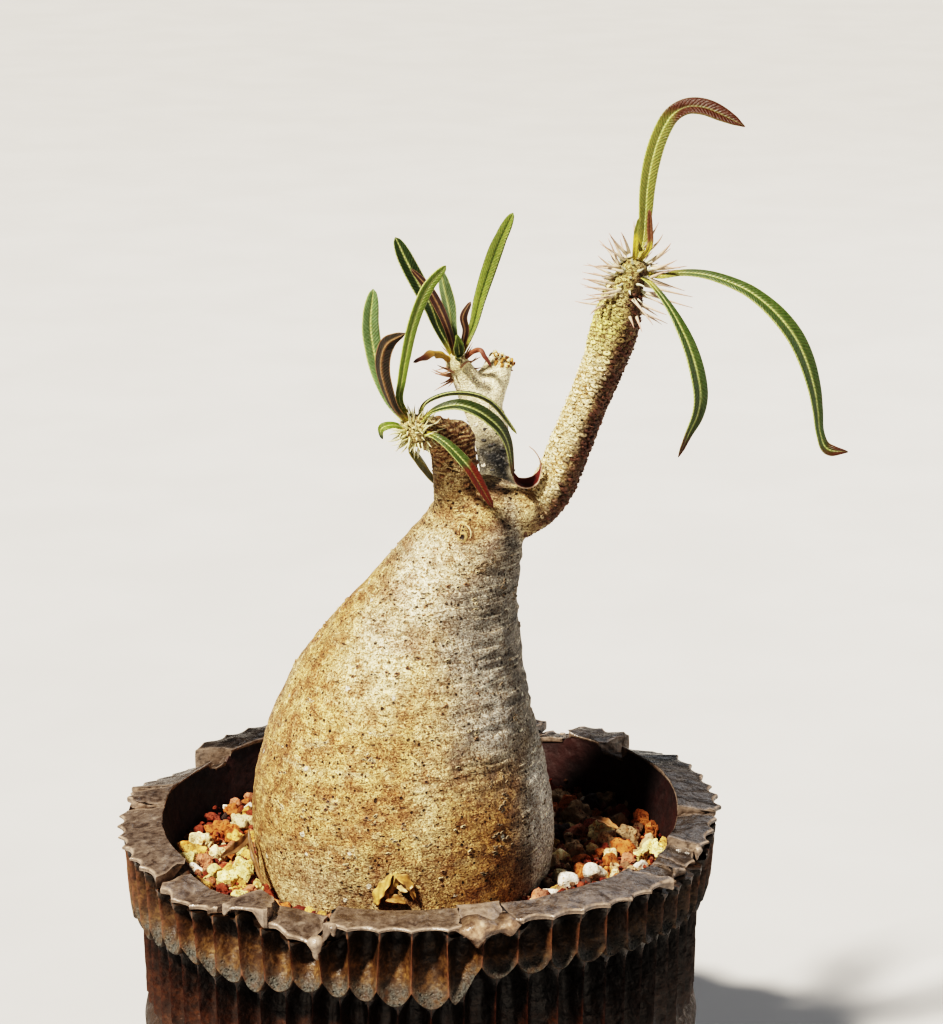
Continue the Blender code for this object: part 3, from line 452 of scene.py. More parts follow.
def pot_finish():
    """Dark stoneware: zones are worn edge with painted highlight, grey pitted tongue, rim top and inner wall;
    tint is the glaze's tone with painted light and shade.
    """
    f = Finish("stoneware", IOR=1.5)
    edge, tongue, top, inside = f.zones()
    broad, fine, grit = f.noise(9, 4), f.noise(0.9, 4, 0.6), f.noise(0.35, 2, 0.6)
    glaze = f.noise(2.4, 5, 0.66, 0.5)
    dark = f.mix(f.rise(broad, 0.35, 0.65), (0.012, 0.0045, 0.0025), (0.032, 0.013, 0.006))
    gold = f.mix(f.rise(fine, 0.35, 0.7), (0.070, 0.034, 0.013), (0.200, 0.112, 0.042))
    body = f.mix(f.rise(f.noise(3.2, 4, 0.6), 0.32, 0.66, 0.15, 0.9), dark, gold)
    satin_with_painted_sheen = f.mix(f.rise(fine, 0.3, 0.75), (0.066, 0.048, 0.038), (0.125, 0.096, 0.078))
    # Mottled glaze on the rim tops, its light patches a painted sheen
    satin_with_painted_sheen = f.layers(satin_with_painted_sheen, (glaze, 0.36, 0.50, 0.80, 0.0, (0.026, 0.017, 0.013)),
                     (glaze, 0.54, 0.68, 0.0, 0.60, (0.215, 0.175, 0.145)))
    grey = f.mix(f.rise(grit, 0.35, 0.65), (0.022, 0.020, 0.017), (0.085, 0.083, 0.073))
    red = f.mix(f.rise(broad, 0.35, 0.7), (0.008, 0.0008, 0.0006), (0.022, 0.0026, 0.0016))
    ragged = f.times(tongue, f.rise(f.noise(1.6, 3), 0.25, 0.62))
    colour = f.mix(1.0, f.mix(top, f.mix(ragged, body, grey), satin_with_painted_sheen), f.tint(), "MULTIPLY")
    colour = f.mix(inside, colour, red)
    # Worn edges paler, partly as painted highlight on the lit arrises and lips
    pale = f.mix(top, f.mix(1.0, f.tint(), (0.170, 0.075, 0.042), "MULTIPLY"), (0.38, 0.29, 0.23))
    colour = f.mix(f.times(edge, f.rise(f.noise(1.3, 3), 0.2, 0.6)), colour, pale)

    rough = f.rise(f.noise(1.5, 4, 0.65), 0.3, 0.75, 0.18, 0.40)
    rough = f.plus(rough, f.times(ragged, 0.42), f.times(f.less(top), 0.16), f.times(inside, 0.30))
    pitted = f.bump(f.rise(f.cells(0.75), 0.05, 0.42), 0.34, f.bump(f.noise(0.5, 3), 0.2), 0.9)
    faceted = f.bump(f.noise(2.8, 2, 0.4, 0.4), 0.85, strength=0.65)
    plain = f.bump(fine, 0.22, f.bump(glaze, 0.35, faceted, 0.7), 0.7)
    relief = f.node("ShaderNodeMix", {0: ragged, 4: plain, 5: pitted}, data_type="VECTOR").outputs[1]
    return f.done(colour, rough, f.bump(grit, 0.04, relief, 0.6))


class Bark(Finish):
    """Bark under construction: its masks, and the noises that more than one of its layers shares."""

    def __init__(self):
        super().__init__("bark", Specular_IOR_Level=0.30)
        self.branch, self.young, self.pale, self.rings = self.zones()
        self.cool, self.ruddy, self.slate, self.umber = self.zones("tint")
        self.patch = self.noise(4.6, 4, 0.58)
        self.spot = self.noise(2.2, 4, 0.6)
        self.mottle = self.noise(1.2, 3, 0.62)
        self.grain = self.noise(0.42, 3, 0.70)
        self.dust_and_highlight_specks = self.noise(0.30, 1, 0.6, 0.0, self.stretched((1.0, 1.0, 1.5)))
        uneven = self.warped(0.9, 0.22, self.stretched((0.85, 0.85, 1.2)))
        self.plates = self.cells(0.62, "DISTANCE_TO_EDGE", vector=uneven)
        self.smooth = self.less(self.times(self.pale, self.branch, 0.85))


def body_colour(f):
    """The swollen stem: gold, bleached or umber, grey as painted shade where it is shaded, with level ridges
    painted light and dark all over.
    """
    band = f.noise(1.0, 3, 0.6, 0.0, f.stretched((0.075, 0.075, 0.40)))
    ridge = f.noise(1.0, 3, 0.6, 0.6, f.stretched((0.16, 0.16, 1.9)))
    gold = f.mix(f.rise(f.patch, 0.36, 0.62), (0.40, 0.230, 0.110), (0.69, 0.500, 0.245))
    gold = f.layers(gold, (f.spot, 0.50, 0.68, 0.0, 0.55, (0.74, 0.62, 0.38)),
                    (band, 0.54, 0.70, 0.0, 0.45, (0.36, 0.19, 0.085)),
                    (band, 0.30, 0.44, 0.45, 0.0, (0.70, 0.62, 0.42)),
                    (f.noise(3.0, 5, 0.66, 0.3), 0.56, 0.66, 0.0, 0.45, (0.34, 0.150, 0.068)))
    bleached = f.times(f.pale, f.rise(f.spot, 0.15, 0.45, 0.45, 1.0), f.rise(f.patch, 0.36, 0.54, 0.35, 1.0))
    gold = f.mix(bleached, gold, (0.97, 0.86, 0.59))
    umber = f.mix(f.rise(f.spot, 0.34, 0.62), (0.15, 0.062, 0.022), (0.44, 0.235, 0.075))
    gold = f.mix(f.times(f.umber, 0.85), gold, umber)
    grey = f.mix(f.rise(f.patch, 0.32, 0.68), (0.145, 0.132, 0.116), (0.31, 0.28, 0.235))
    # Level ridges: pale ones a painted highlight, dark ones a painted shadow
    grey = f.layers(grey, (band, 0.54, 0.68, 0.0, 0.40, (0.42, 0.38, 0.31)),
                    (ridge, 0.56, 0.66, 0.0, 0.75, (0.50, 0.47, 0.40)),
                    (ridge, 0.34, 0.44, 0.55, 0.0, (0.055, 0.048, 0.042)))
    # Pale bark in the grey, and the painted rim light low on the right
    grey = f.mix(f.times(f.pale, 0.95), grey, (0.90, 0.85, 0.76))
    # Painted shade: grey bark laid where the stem's side is shaded
    body = f.mix(f.cool, gold, grey)
    # Painted highlight and shadow along the level ridges
    body = f.mix(f.rise(ridge, 0.55, 0.66, 0.0, 0.75), body, (1.45, 1.40, 1.30), "MULTIPLY")
    return f.mix(f.rise(ridge, 0.33, 0.43, 0.55, 0.0), body, (0.52, 0.43, 0.35), "MULTIPLY")


def limb_colour(f):
    """The branches: warm or bleached, ruddy as painted shade on their shaded side, dark slate as painted shadow
    low on the middle one.
    """
    limb = f.mix(f.rise(f.patch, 0.3, 0.7), (0.50, 0.34, 0.17), (0.86, 0.71, 0.43))
    limb = f.mix(f.times(f.pale, f.rise(f.spot, 0.25, 0.5, 0.75, 1.0)), limb, (0.98, 0.87, 0.62))
    # Painted shade on the branches' shaded side
    ruddy = f.mix(f.rise(f.spot, 0.35, 0.65), (0.042, 0.019, 0.013), (0.125, 0.064, 0.038))
    # Painted shadow low on the middle branch
    slate = f.mix(f.rise(f.noise(0.8, 3, 0.65), 0.54, 0.70), (0.024, 0.025, 0.028), (0.22, 0.22, 0.22))
    return f.mix(f.slate, f.mix(f.ruddy, limb, ruddy), slate)


def tip_colour(f, colour):
    """Green young skin near the crowns, and ring wrinkles round the left branch, painted light and dark as
    highlight and shade.
    """
    green = f.mix(f.rise(f.grain, 0.3, 0.7), (0.22, 0.16, 0.05), (0.62, 0.58, 0.27))
    colour = f.mix(f.times(f.young, f.less(f.ruddy)), colour, green)
    red = f.mix(f.rise(f.patch, 0.3, 0.7), (0.11, 0.042, 0.022), (0.28, 0.150, 0.078))
    colour = f.mix(f.times(f.rings, 0.92), colour, red)
    wave = f.node("ShaderNodeTexWave", {"Vector": f.place, "Scale": 0.34, "Distortion": 9.0, "Detail": 3.0,
                                        "Detail Scale": 0.6}, bands_direction="Z").outputs[1]
    ringed = f.math("MULTIPLY", f.rings, 3.5, clamp=True)
    # Ring wrinkles: painted highlight on their crests, painted shade in their grooves
    colour = f.mix(f.times(ringed, f.rise(wave, 0.55, 0.98, 0.0, 0.62)), colour, (0.66, 0.51, 0.30))
    return f.mix(f.times(ringed, f.rise(wave, 0.02, 0.20, 0.66, 0.0)), colour, (0.070, 0.028, 0.015))


def weathered_colour(f, colour):
    """The colour with dark grain and blotches, partly painted shade in the pits of the bark's relief, dark
    seams, and pale dust, partly painted highlight specks.
    """
    shadow = f.mix(1.0, colour, (0.31, 0.23, 0.17), "MULTIPLY")
    grainy = f.times(f.smooth, f.rise(f.grain, 0.38, 0.53, 1.0, 0.0))
    blotched = f.times(f.smooth, f.rise(f.mottle, 0.36, 0.50, 0.50, 0.0))
    seams = f.times(f.rise(f.plates, 0.02, 0.13, 1.0, 0.0), f.rise(f.noise(1.6, 2), 0.42, 0.60), 0.65)
    for mask in (grainy, blotched, seams):
        colour = f.mix(mask, colour, shadow)
    # Pale dust and painted highlight specks
    dusty_and_highlit = f.math("MAXIMUM", f.rise(f.dust_and_highlight_specks, 0.54, 0.67), f.rise(f.mottle, 0.55, 0.66, 0.0, 0.7))
    return f.mix(dusty_and_highlit, colour, (1.75, 1.74, 1.62), "MULTIPLY")


def bark_marks(f):
    """Large and small pores, and short level cracks in some places."""
    level = f.warped(2.0, 0.25, f.stretched((0.32, 0.32, 1.15)))
    cracks = f.times(f.dots(1.0, 0.13, 0.21, 2, 0.34, level), f.rise(f.noise(6, 2), 0.42, 0.52), 0.9)
    small = f.times(f.dots(1.25, 0.15, 0.24, 1, 0.36), f.rise(f.noise(7.0, 2), 0.43, 0.52))
    pores = f.math("MAXIMUM", f.dots(2.5, 0.100, 0.150, 0, 0.22), small)
    pores = f.times(pores, f.less(f.young), f.less(f.times(f.pale, f.rise(f.mottle, 0.40, 0.56))))
    return f.times(f.math("MAXIMUM", pores, cracks), f.smooth)


def bark_finish():
    """Bark: zones are branch, greenness, paleness with painted light, and ring wrinkles; tint is grey with
    painted shade, ruddy painted shade, slate painted shadow and umber.
    """
    f = Bark()
    colour = tip_colour(f, f.mix(f.branch, body_colour(f), limb_colour(f)))
    flakes = f.dots(4.2, 0.10, 0.16, 0, 0.72, f.warped(0.7, 0.45, f.place))
    flakes = f.times(flakes, f.less(f.branch), f.rise(f.grain, 0.30, 0.45))
    marks = bark_marks(f)
    colour = f.mix(f.times(flakes, 0.8), weathered_colour(f, colour), (0.92, 0.86, 0.70))
    colour = f.mix(f.times(marks, 0.92), colour, (0.018, 0.010, 0.006))
    relief = f.bump(f.noise(1.0, 3, 0.55, 0.3, f.stretched((0.20, 0.20, 1.35))), 0.75, strength=0.7)
    edges = f.rise(f.plates, 0.0, 0.20)
    for height, depth, strength in ((f.mottle, 0.55, 0.9), (f.grain, 0.62, 1.0), (edges, 0.14, 0.8),
                                    (f.dust_and_highlight_specks, 0.17, 1.0), (flakes, 0.25, 0.9), (f.less(marks), 0.35, 0.9)):
        relief = f.bump(height, depth, relief, strength)
    return f.done(colour, f.rise(f.patch, 0.3, 0.7, 0.48, 0.70), relief)


def tinted_finish(name, grain_size, depth, shade, roughness):
    """A material coloured by the mesh's own tint, mottled and roughened by fine noise."""
    f = Finish(name)
    grain, coarse = f.noise(grain_size, 4, 0.62), f.noise(grain_size * 4.5, 3, 0.6)
    tint = f.tint()
    darker = f.mix(1.0, tint, (shade, shade, shade), "MULTIPLY")
    colour = f.mix(f.rise(grain, 0.32, 0.68), darker, tint)
    colour = f.mix(f.rise(coarse, 0.35, 0.75, 0.0, 0.35), colour, darker)
    normal = f.bump(grain, depth, f.bump(coarse, depth * 2.5, strength=0.5), 0.8)
    return f.done(colour, f.rise(grain, 0.3, 0.7, *roughness), normal)


def mineral_finish():
    """Crumbly mineral grains: tint with stained and chalky patches, pitted all over, the pits and fine hollows
    painted darker as shade.
    """
    f = Finish("mineral", Specular_IOR_Level=0.35)
    fine, coarse = f.noise(0.32, 3, 0.65), f.noise(1.3, 3, 0.6)
    pits = f.times(f.rise(f.cells(0.50), 0.10, 0.34, 1.0, 0.0), f.rise(f.noise(1.1, 2), 0.40, 0.55))
    colour = f.mix(f.rise(coarse, 0.50, 0.66, 0.0, 0.85), f.tint(), (0.72, 0.44, 0.24), "MULTIPLY")
    colour = f.mix(f.rise(coarse, 0.30, 0.44, 0.8, 0.0), colour, (1.22, 1.24, 1.30), "MULTIPLY")
    # Painted shade in the pits and fine hollows
    dark = f.math("MAXIMUM", pits, f.rise(fine, 0.30, 0.46, 0.75, 0.0))
    colour = f.mix(dark, colour, (0.34, 0.25, 0.19), "MULTIPLY")
    relief = f.bump(fine, 0.30, f.bump(coarse, 0.5, strength=0.6), 1.0)
    return f.done(colour, f.rise(fine, 0.3, 0.7, 0.55, 0.9), f.bump(f.less(pits), 0.25, relief, 0.9))


def leaf_finish():
    """Leaf skin: tint carries green, midrib and margins; zones are along, across and dryness."""
    f = Finish("leaf_skin", Specular_IOR_Level=0.36, Subsurface_Weight=0.06, Subsurface_Scale=0.001)
    along, across, dry, _ = f.zones()
    tint = f.tint()
    slanted = f.math("SUBTRACT", along, f.times(across, 0.17))
    veins = f.node("ShaderNodeTexWave", {
        "Vector": f.node("ShaderNodeCombineXYZ", {"X": slanted, "Y": f.times(across, 0.3)}).outputs[0],
        "Scale": 4.4, "Distortion": 2.4, "Detail": 2.0, "Detail Scale": 3.0}).outputs[1]
    grain = f.noise(0.5, 3, 0.6)
    colour = f.mix(f.rise(grain, 0.3, 0.7, 1.0, 0.0), tint, (0.62, 0.70, 0.55), "MULTIPLY")
    veined = f.times(f.rise(veins, 0.55, 0.95, 0.0, 0.25), f.less(dry))
    colour = f.mix(veined, colour, f.mix(1.0, tint, (1.9, 1.7, 2.0), "MULTIPLY"))
    rough = f.plus(f.rise(grain, 0.3, 0.7, 0.34, 0.52), f.times(dry, 0.10))
    return f.done(colour, rough, f.bump(grain, 0.05, f.bump(veins, 0.08, strength=0.8), 0.7))


# The pot


def table_at(table, azimuth):
    """The columns of a table, taken between its rows at an azimuth."""
    table = np.array(table, float)
    return [np.interp(azimuth, table[:, 0], table[:, k]) for k in range(1, table.shape[1])]


def around(azimuth, radius, height):
    """Points at an azimuth in degrees, a radius and a height."""
    turn = np.radians(azimuth)
    return np.column_stack((radius * np.cos(turn), radius * np.sin(turn), np.broadcast_to(height, len(turn))))


def groove(u, fall, span):
    """Depth share of a round-topped flute at u across it and fall mm below its top, 0 at its ridges."""
    half = span / 2
    across = (u - 0.5) * span
    above = np.maximum(half * 0.9 - fall, 0)
    away = np.sqrt(across ** 2 + above ** 2) / half
    return 1 - np.clip(away, 0, 1) ** 2.8


def flute_columns():
    """Azimuth, place across its flute and number of the flute, for each column of the pot's wall."""
    u = np.tile(FLUTE_COLUMNS, FLUTES)
    flute = np.repeat(np.arange(FLUTES), len(FLUTE_COLUMNS))
    even = (flute + u) * 360 / FLUTES
    return (even + np.interp(even, *FLUTE_DRIFT)) % 360, u, flute


def rim_seat(azimuth, reach):
    """Inner and outer height and outer radius of the wall under the slabs: the rim's lowest within reach."""
    turns = reach * np.linspace(-1, 1, 7)
    low = [np.minimum.reduce([table_at(RIM, (azimuth + turn) % 360)[k] for turn in turns]) for k in range(3)]
    return low[0] - 0.5, low[1] - 0.5, low[2]


def make_pot(finish):
    """The wall, ring by ring: up inside, across under the slabs, down two tiers of flutes and the base."""
    azimuth, u, flute = flute_columns()
    columns = len(u)
    rows, zones, shades = [], [], []

    def row(points, edge=0.0, tongue=0.0, top=0.0, inside=0.0, shade=1.0, tone=(1.0, 1.0, 1.0)):
        rows.append(points)
        masks = (edge, tongue, top, inside)
        zones.append(np.column_stack([np.broadcast_to(mask, columns) for mask in masks]))
        shades.append(np.multiply.outer(np.broadcast_to(shade, columns), tone))

    def wander(seed, amount):
        """A small lean of each ridge, in degrees, shared smoothly across the flutes between ridges."""
        offsets = rng_of(seed).normal(0, amount, FLUTES)
        return offsets[flute] * (1 - u) + offsets[(flute + 1) % FLUTES] * u

    inner_seat, lip_seat, seat_radius = rim_seat(azimuth, 1.0)
    outer_seat = rim_seat(azimuth, 3.0)[1]
    for z, r in INNER_WALL:
        wave = 0.25 * noise(around(azimuth, 50.0, z), 11) + 0.10 * math.sin(z * 1.9)
        row(around(azimuth, r + wave, z), inside=1.0)
    low, narrow = INNER_WALL[-1]
    for share in (0.3, 0.6, 0.85, 1.0):
        z = low + (inner_seat - 0.1 - low) * share
        r = narrow + (RIM_INNER_RADIUS + 0.3 - narrow) * share
        row(around(azimuth, r + 0.25 * noise(around(azimuth, 50.0, z), 11), z), inside=1.0)
    scallop = 1 - (2 * u - 1) ** 2
    lip = seat_radius - 0.7 - 1.2 * scallop
    row(around(azimuth, RIM_INNER_RADIUS + 1.2, inner_seat), top=1.0)
    row(around(azimuth, (RIM_INNER_RADIUS + lip) / 2, (inner_seat + lip_seat) / 2), top=1.0)
    row(around(azimuth, lip - 0.5, lip_seat), top=1.0)
    # Painted shade under the lip of the slabs
    row(around(azimuth, lip, lip_seat - 0.25), edge=0.3, shade=0.4)
    row(around(azimuth, lip - 0.2 - 0.8 * scallop, np.minimum(lip_seat - 0.4, outer_seat - 0.3)), shade=0.3)

    def tier(seed, shift, top, foot, ridge, floor, leans):
        """Rings down one tier of flutes, shifted by a share of a flute."""
        span = 2 * math.pi * ridge[0] / FLUTES
        across = (u + shift) % 1.0
        which = (flute + (u + shift >= 1.0)) % FLUTES
        wide = rng_of(seed).normal(0, 0.28, FLUTES)
        for share in FLUTE_LEVELS:
            height = top + (foot - top) * share
            depth = groove(across, top - height, span)
            floor_radius = np.interp(share, (0, 0.45, 0.8, 1.0), floor) + wide[which]
            ridge_radius = ridge[0] + (ridge[1] - ridge[0]) * share
            chipped = 0.30 * np.maximum(noise(np.column_stack((which * 3.7, height, 0 * u)), 1.3), 0) ** 2
            radius = ridge_radius - chipped + (floor_radius - ridge_radius) * depth
            radius = radius + 0.14 * noise(around(azimuth, 57.0, height), 1.9) * depth
            # The arrises, worn and partly painted as lit ridges
            arris = np.clip(1 - np.minimum(across, 1 - across) / 0.05, 0, 1)
            grey = smoothstep(0.66, 0.90, share) * np.clip(depth * 1.5, 0, 1)
            # Each flute darker towards its top, where glaze pools and as painted shade under the overhang; its
            # arrises keep full light
            shade = np.maximum(0.22 + 0.78 * smoothstep(0.14, 0.66, share), arris)
            # Painted shade: the flutes darker on the sides of the pot the light reaches less
            shade = shade * np.interp(azimuth, *FLUTE_PAINTED_LIGHT)
            turn = leans[0] * (1 - share) + leans[1] * share
            yield around(azimuth + turn, radius, height), arris, grey, shade

    arch = 0.85 * np.abs(2 * u - 1) ** 3.0 + 0.15 * np.cos(math.pi * u) ** 2
    foot = table_at(TONGUE_ENDS, azimuth)[0] + 2.8 * arch + 0.35 * noise(around(azimuth, 58.0, 0.0), 3.1)
    leans = (wander(11, 0.15), wander(12, 0.45))
    for points, arris, grey, shade in tier(31, 0.0, outer_seat - 0.5, foot, UPPER_RIDGE, UPPER_FLOOR, leans):
        row(points, edge=arris, tongue=grey, shade=shade)
    radius = np.hypot(rows[-1][:, 0], rows[-1][:, 1])
    turned = np.degrees(np.arctan2(rows[-1][:, 1], rows[-1][:, 0]))
    # Painted shade in the step under the tongues' feet
    row(around(turned, radius - 0.4, foot - 0.35), tongue=0.6, edge=0.1, shade=0.7)
    row(around(turned, radius - 1.5, foot - 0.3), shade=0.2)
    lower_foot = np.full(columns, LOWER_TIER_FOOT)
    leans = (wander(13, 0.35), wander(14, 0.35))
    for points, arris, grey, shade in tier(36, 0.5, foot - 0.8, lower_foot, LOWER_RIDGE, LOWER_FLOOR, leans):
        row(points, edge=arris * 0.55, tongue=grey * 0.4, shade=shade, tone=LOWER_TIER_PAINTED_SHADE)
    for z, r in PLAIN_BASE:
        swell = 0.18 * noise(around(azimuth, r, z), 13) + 0.07 * math.sin(z * 2.1) if z > 0.5 else 0.0
        row(around(azimuth, r + swell, z), tongue=0.7, tone=BASE_TONE)
    for r, z in RECESS:
        row(around(azimuth, r, z))
    faces = grid_faces(len(rows), columns)
    end = (len(rows) - 1) * columns
    faces += [(end + c, end + (c + 1) % columns, (c + 1) % columns, c) for c in range(columns)]
    faces = [face[::-1] for face in faces]
    data = mesh_of("pot_wall", np.vstack(rows), faces, np.concatenate(shades), np.vstack(zones))
    piece("pot_wall", data, finish, ("pot",), sharp=50)


def slab(number, first, last, skew_first, skew_last, roll, swell):
    """One slab of the rim over the wall's columns between two azimuths: points, faces, tone and masks."""
    pot_azimuth, pot_u, _ = flute_columns()
    order = np.argsort(pot_azimuth)
    turns = np.concatenate((pot_azimuth[order] - 360, pot_azimuth[order]))
    within = (turns > first - 0.6) & (turns < last + 0.6)
    columns = np.concatenate(([first - 0.7], turns[within], [last + 0.7]))
    scallop = 1 - (2 * np.interp(columns, turns, np.tile(pot_u[order], 2)) - 1) ** 2
    inner, outer, radius = table_at(RIM, np.clip(columns, first + 0.01, last - 0.01) % 360)
    along = (columns - first) / (last - first) * 2 - 1
    at_first = smoothstep(first + 3.5, first - 0.7, columns)
    at_last = smoothstep(last - 3.5, last + 0.7, columns)
    lip = radius - 1.25 * scallop
    level = np.zeros(len(columns))
    points = []
    for share, down, out, _, _ in SLAB_SECTION:
        jag = 0.8 * noise(np.column_stack((share * 9 + level, number * 7 + level, level)), 1.5)
        askew = columns + at_first * (skew_first * (share - 0.5) + jag)
        askew = askew + at_last * (skew_last * (share - 0.5) - jag)
        across = RIM_INNER_RADIUS + (lip - RIM_INNER_RADIUS) * share
        spot = around(askew, across, 0.0)
        top = inner + (outer - inner) * share ** 0.9 + roll * along * (share - 0.3)
        top = top + swell * math.sin(math.pi * share) * np.clip(1 - along ** 4, 0, 1)
        top = top + 0.34 * noise(spot, 5.5, number) + 0.10 * noise(spot, 2.4) + 0.03 * noise(spot, 1.0)
        inner_seat, outer_seat, _ = rim_seat(askew, 1.0)
        seat = inner_seat + (outer_seat - inner_seat) * share
        rounded = 0.14 if share in (0.0, 1.0) and down == 0.0 else 0.0
        height = top + (np.minimum(seat - 0.3, top - 0.6) - top) * down - rounded
        points.append(around(askew, across + out, height))
    ring = len(SLAB_SECTION)
    masks = [(worn, 0, glazed, 0) for _, _, _, worn, glazed in SLAB_SECTION]
    masks = np.tile(np.array(masks, float), (len(columns), 1))
    if number == PALE_SLAB:
        masks[:, 0] = np.maximum(masks[:, 0], 0.35)
    end = smoothstep(first + 0.5, first - 0.7, columns)
    end = np.maximum(end, smoothstep(last - 0.5, last + 0.7, columns))
    masks[:, 0] = np.maximum(masks[:, 0], 0.45 * np.repeat(end, ring))
    # Painted light and shade: each slab lighter or darker round the pot as the light falls
    tone = np.repeat(np.interp(columns % 360, *SLAB_PAINTED_LIGHT), ring)[:, None]
    return np.stack(points, axis=1).reshape(-1, 3), tube_faces(len(columns), ring), tone, masks


def make_slabs(finish):
    """The torn slabs of the rim."""
    slabs = Bundle()
    for number, numbers in enumerate(SLABS):
        slabs.add(*slab(number, *numbers))
    piece("rim_slabs", slabs.mesh("rim_slabs"), finish, sharp=38)


def make_drips(finish):
    """Drips that run from the rim."""
    drips = Bundle()
    sides, rings = 12, len(DRIP_WIDTHS)
    share = np.linspace(0, 1, rings)
    for azimuth, wide, long, off in DRIPS:
        edge, radius = table_at(RIM, np.array([azimuth % 360]))[1:]
        out = radius[0] - 0.9 + off - 0.5 * share
        line = around(np.full(rings, azimuth), out, edge[0] + 0.1 - long * share)
        tube = tube_points(line, wide / 2 * DRIP_WIDTHS, sides)
        tube = tube + 0.18 * unit(tube - np.repeat(line, sides, axis=0)) * noise(tube, 1.4)[:, None]
        drips.add(tube, tube_faces(rings, sides), (1, 1, 1), (0.75, 0, 1, 0))
    piece("rim_drips", drips.mesh("rim_drips"), finish)


def make_fold(finish):
    """The glossy lump of pale clay that hangs over the front of the rim in two lobes."""
    reach = smooth_line(FOLD, 120)
    columns = np.linspace(FOLD[0][0], FOLD[-1][0], 44)
    hang, tops = (np.interp(columns, reach[:, 0], reach[:, k]) for k in (1, 2))
    lobe = np.clip(hang / 4.5, 0, 1)
    end = np.sqrt(np.clip(1 - np.abs(np.linspace(-1, 1, len(columns))) ** 6, 0.02, 1))
    rings, tones = [], []
    for r, drop, out, pale in FOLD_SECTION:
        height = tops - drop * hang * end - 0.25 * (1 - end)
        spot = around(columns, r, height)
        bulge = out * end * (0.10 + 1.05 * lobe) + 0.08 * noise(spot, 1.6) + 0.14 * noise(spot, 3.6)
        rings.append(around(columns, r + bulge, height))
        # Pale clay, lighter on the hanging lobes as a painted highlight
        tone = pale * (0.50 + 0.50 * lobe) * (1 + 0.22 * noise(spot, 2.2))
        tones.append(np.multiply.outer(tone, (1.0, 0.90, 0.78)))
    points, shades = (np.stack(values, axis=1).reshape(-1, 3) for values in (rings, tones))
    fold = Bundle()
    fold.add(points, tube_faces(len(columns), len(FOLD_SECTION)), shades, (0, 0, 1, 0))
    piece("rim_fold", fold.mesh("rim_fold"), finish)


def cylinders(name, sides, radius, height, centres):
    """An object of upright cylinders, its sizes in mm."""
    shape = bmesh.new()
    for centre in centres:
        bmesh.ops.create_cone(shape, cap_ends=True, segments=sides, radius1=radius * MM, radius2=radius * MM,
                              depth=height * MM, matrix=Matrix.Translation(Vector(centre) * MM))
    mesh = bpy.data.meshes.new(name)
    shape.to_mesh(mesh)
    shape.free()
    return linked(name, mesh)


def make_pot_floor(finish):
    """The pot's floor, a disc cut through by the drain holes."""
    disc = cylinders("disc", 96, FLOOR_RADIUS, FLOOR_THICKNESS, [(0, 0, FLOOR_MIDDLE)])
    turns = [math.radians(90 + 360 * k / HOLES) for k in range(HOLES)]
    centres = [(HOLE_CIRCLE * math.cos(turn), HOLE_CIRCLE * math.sin(turn), 0) for turn in turns]
    tool = cylinders("drain_holes", 28, HOLE_RADIUS, 20, centres)
    change = disc.modifiers.new("holes", "BOOLEAN")
    change.object = tool
    change.operation = "DIFFERENCE"
    data = evaluated_mesh(disc)
    bpy.data.objects.remove(tool)
    paint(data, "tint", np.ones((len(data.vertices), 4)))
    piece("pot_floor", data, finish, sharp=35)


# The stem

CAUDEX = (
    (56.0, -2.5, -6.5, 21.0), (63.0, -3.0, -7.0, 26.0), (69.0, -3.0, -7.0, 28.3), (76.0, -3.0, -7.0, 29.5),
    (82.0, -3.4, -7.0, 29.7), (90.0, -3.6, -7.0, 28.8), (98.0, -3.5, -7.0, 27.0), (106.0, -2.9, -7.0, 24.6),
    (114.0, -1.8, -6.8, 21.5), (122.0, 1.0, -6.6, 18.0), (130.0, 4.8, -6.4, 14.4), (136.0, 7.8, -6.2, 12.1),
    (142.0, 10.6, -6.0, 10.2), (147.0, 12.0, -6.0, 7.5), (149.5, 12.5, -6.0, 3.5),
)
BRANCHES = {
    "left": ((8.5, -7.0, 139.0, 11.0), (7.6, -8.0, 145.3, 9.3), (7.4, -9.0, 149.6, 8.8),
             (7.2, -10.0, 154.0, 8.7), (6.4, -11.2, 158.4, 8.2), (3.4, -13.8, 160.8, 7.0),
             (0.8, -15.7, 161.9, 6.2)),
    "mid": ((16.5, -2.5, 138.5, 8.6), (15.9, 2.0, 145.6, 7.2), (14.8, 5.0, 151.9, 6.8),
            (13.8, 6.0, 157.7, 7.2), (11.8, 6.6, 162.5, 7.4), (9.6, 6.0, 166.4, 5.7), (8.0, 5.2, 169.6, 4.6)),
    "mid_stub": ((12.4, 6.8, 160.0, 7.0), (14.2, 8.4, 165.4, 6.8), (16.4, 10.0, 170.0, 4.8)),
    "right": ((13.0, -6.0, 140.0, 11.0), (19.1, -7.0, 143.4, 9.8), (22.3, -7.2, 144.9, 9.2),
              (25.0, -7.5, 147.5, 8.5), (26.8, -8.0, 150.9, 8.2), (29.6, -8.6, 158.4, 7.9),
              (32.6, -9.2, 166.4, 7.6), (35.6, -9.8, 174.3, 8.2), (36.8, -10.1, 178.4, 8.9),
              (37.7, -10.4, 182.1, 8.7), (38.5, -10.7, 186.0, 7.8), (39.5, -10.9, 189.2, 6.5),
              (40.2, -11.0, 191.2, 5.4)),
}
KNOBS = ((7.0, -10.6, 158.7, 4.2), (20.2, -8.6, 145.0, 4.7))
CROWN_LEFT = (-0.2, -16.4, 162.2)
CROWN_MID = (7.6, 4.9, 170.6)
CROWN_RIGHT = (40.6, -11.0, 191.7)
CROWNS = ((CROWN_LEFT, 3.2), (CROWN_MID, 2.4), (CROWN_RIGHT, 2.8))
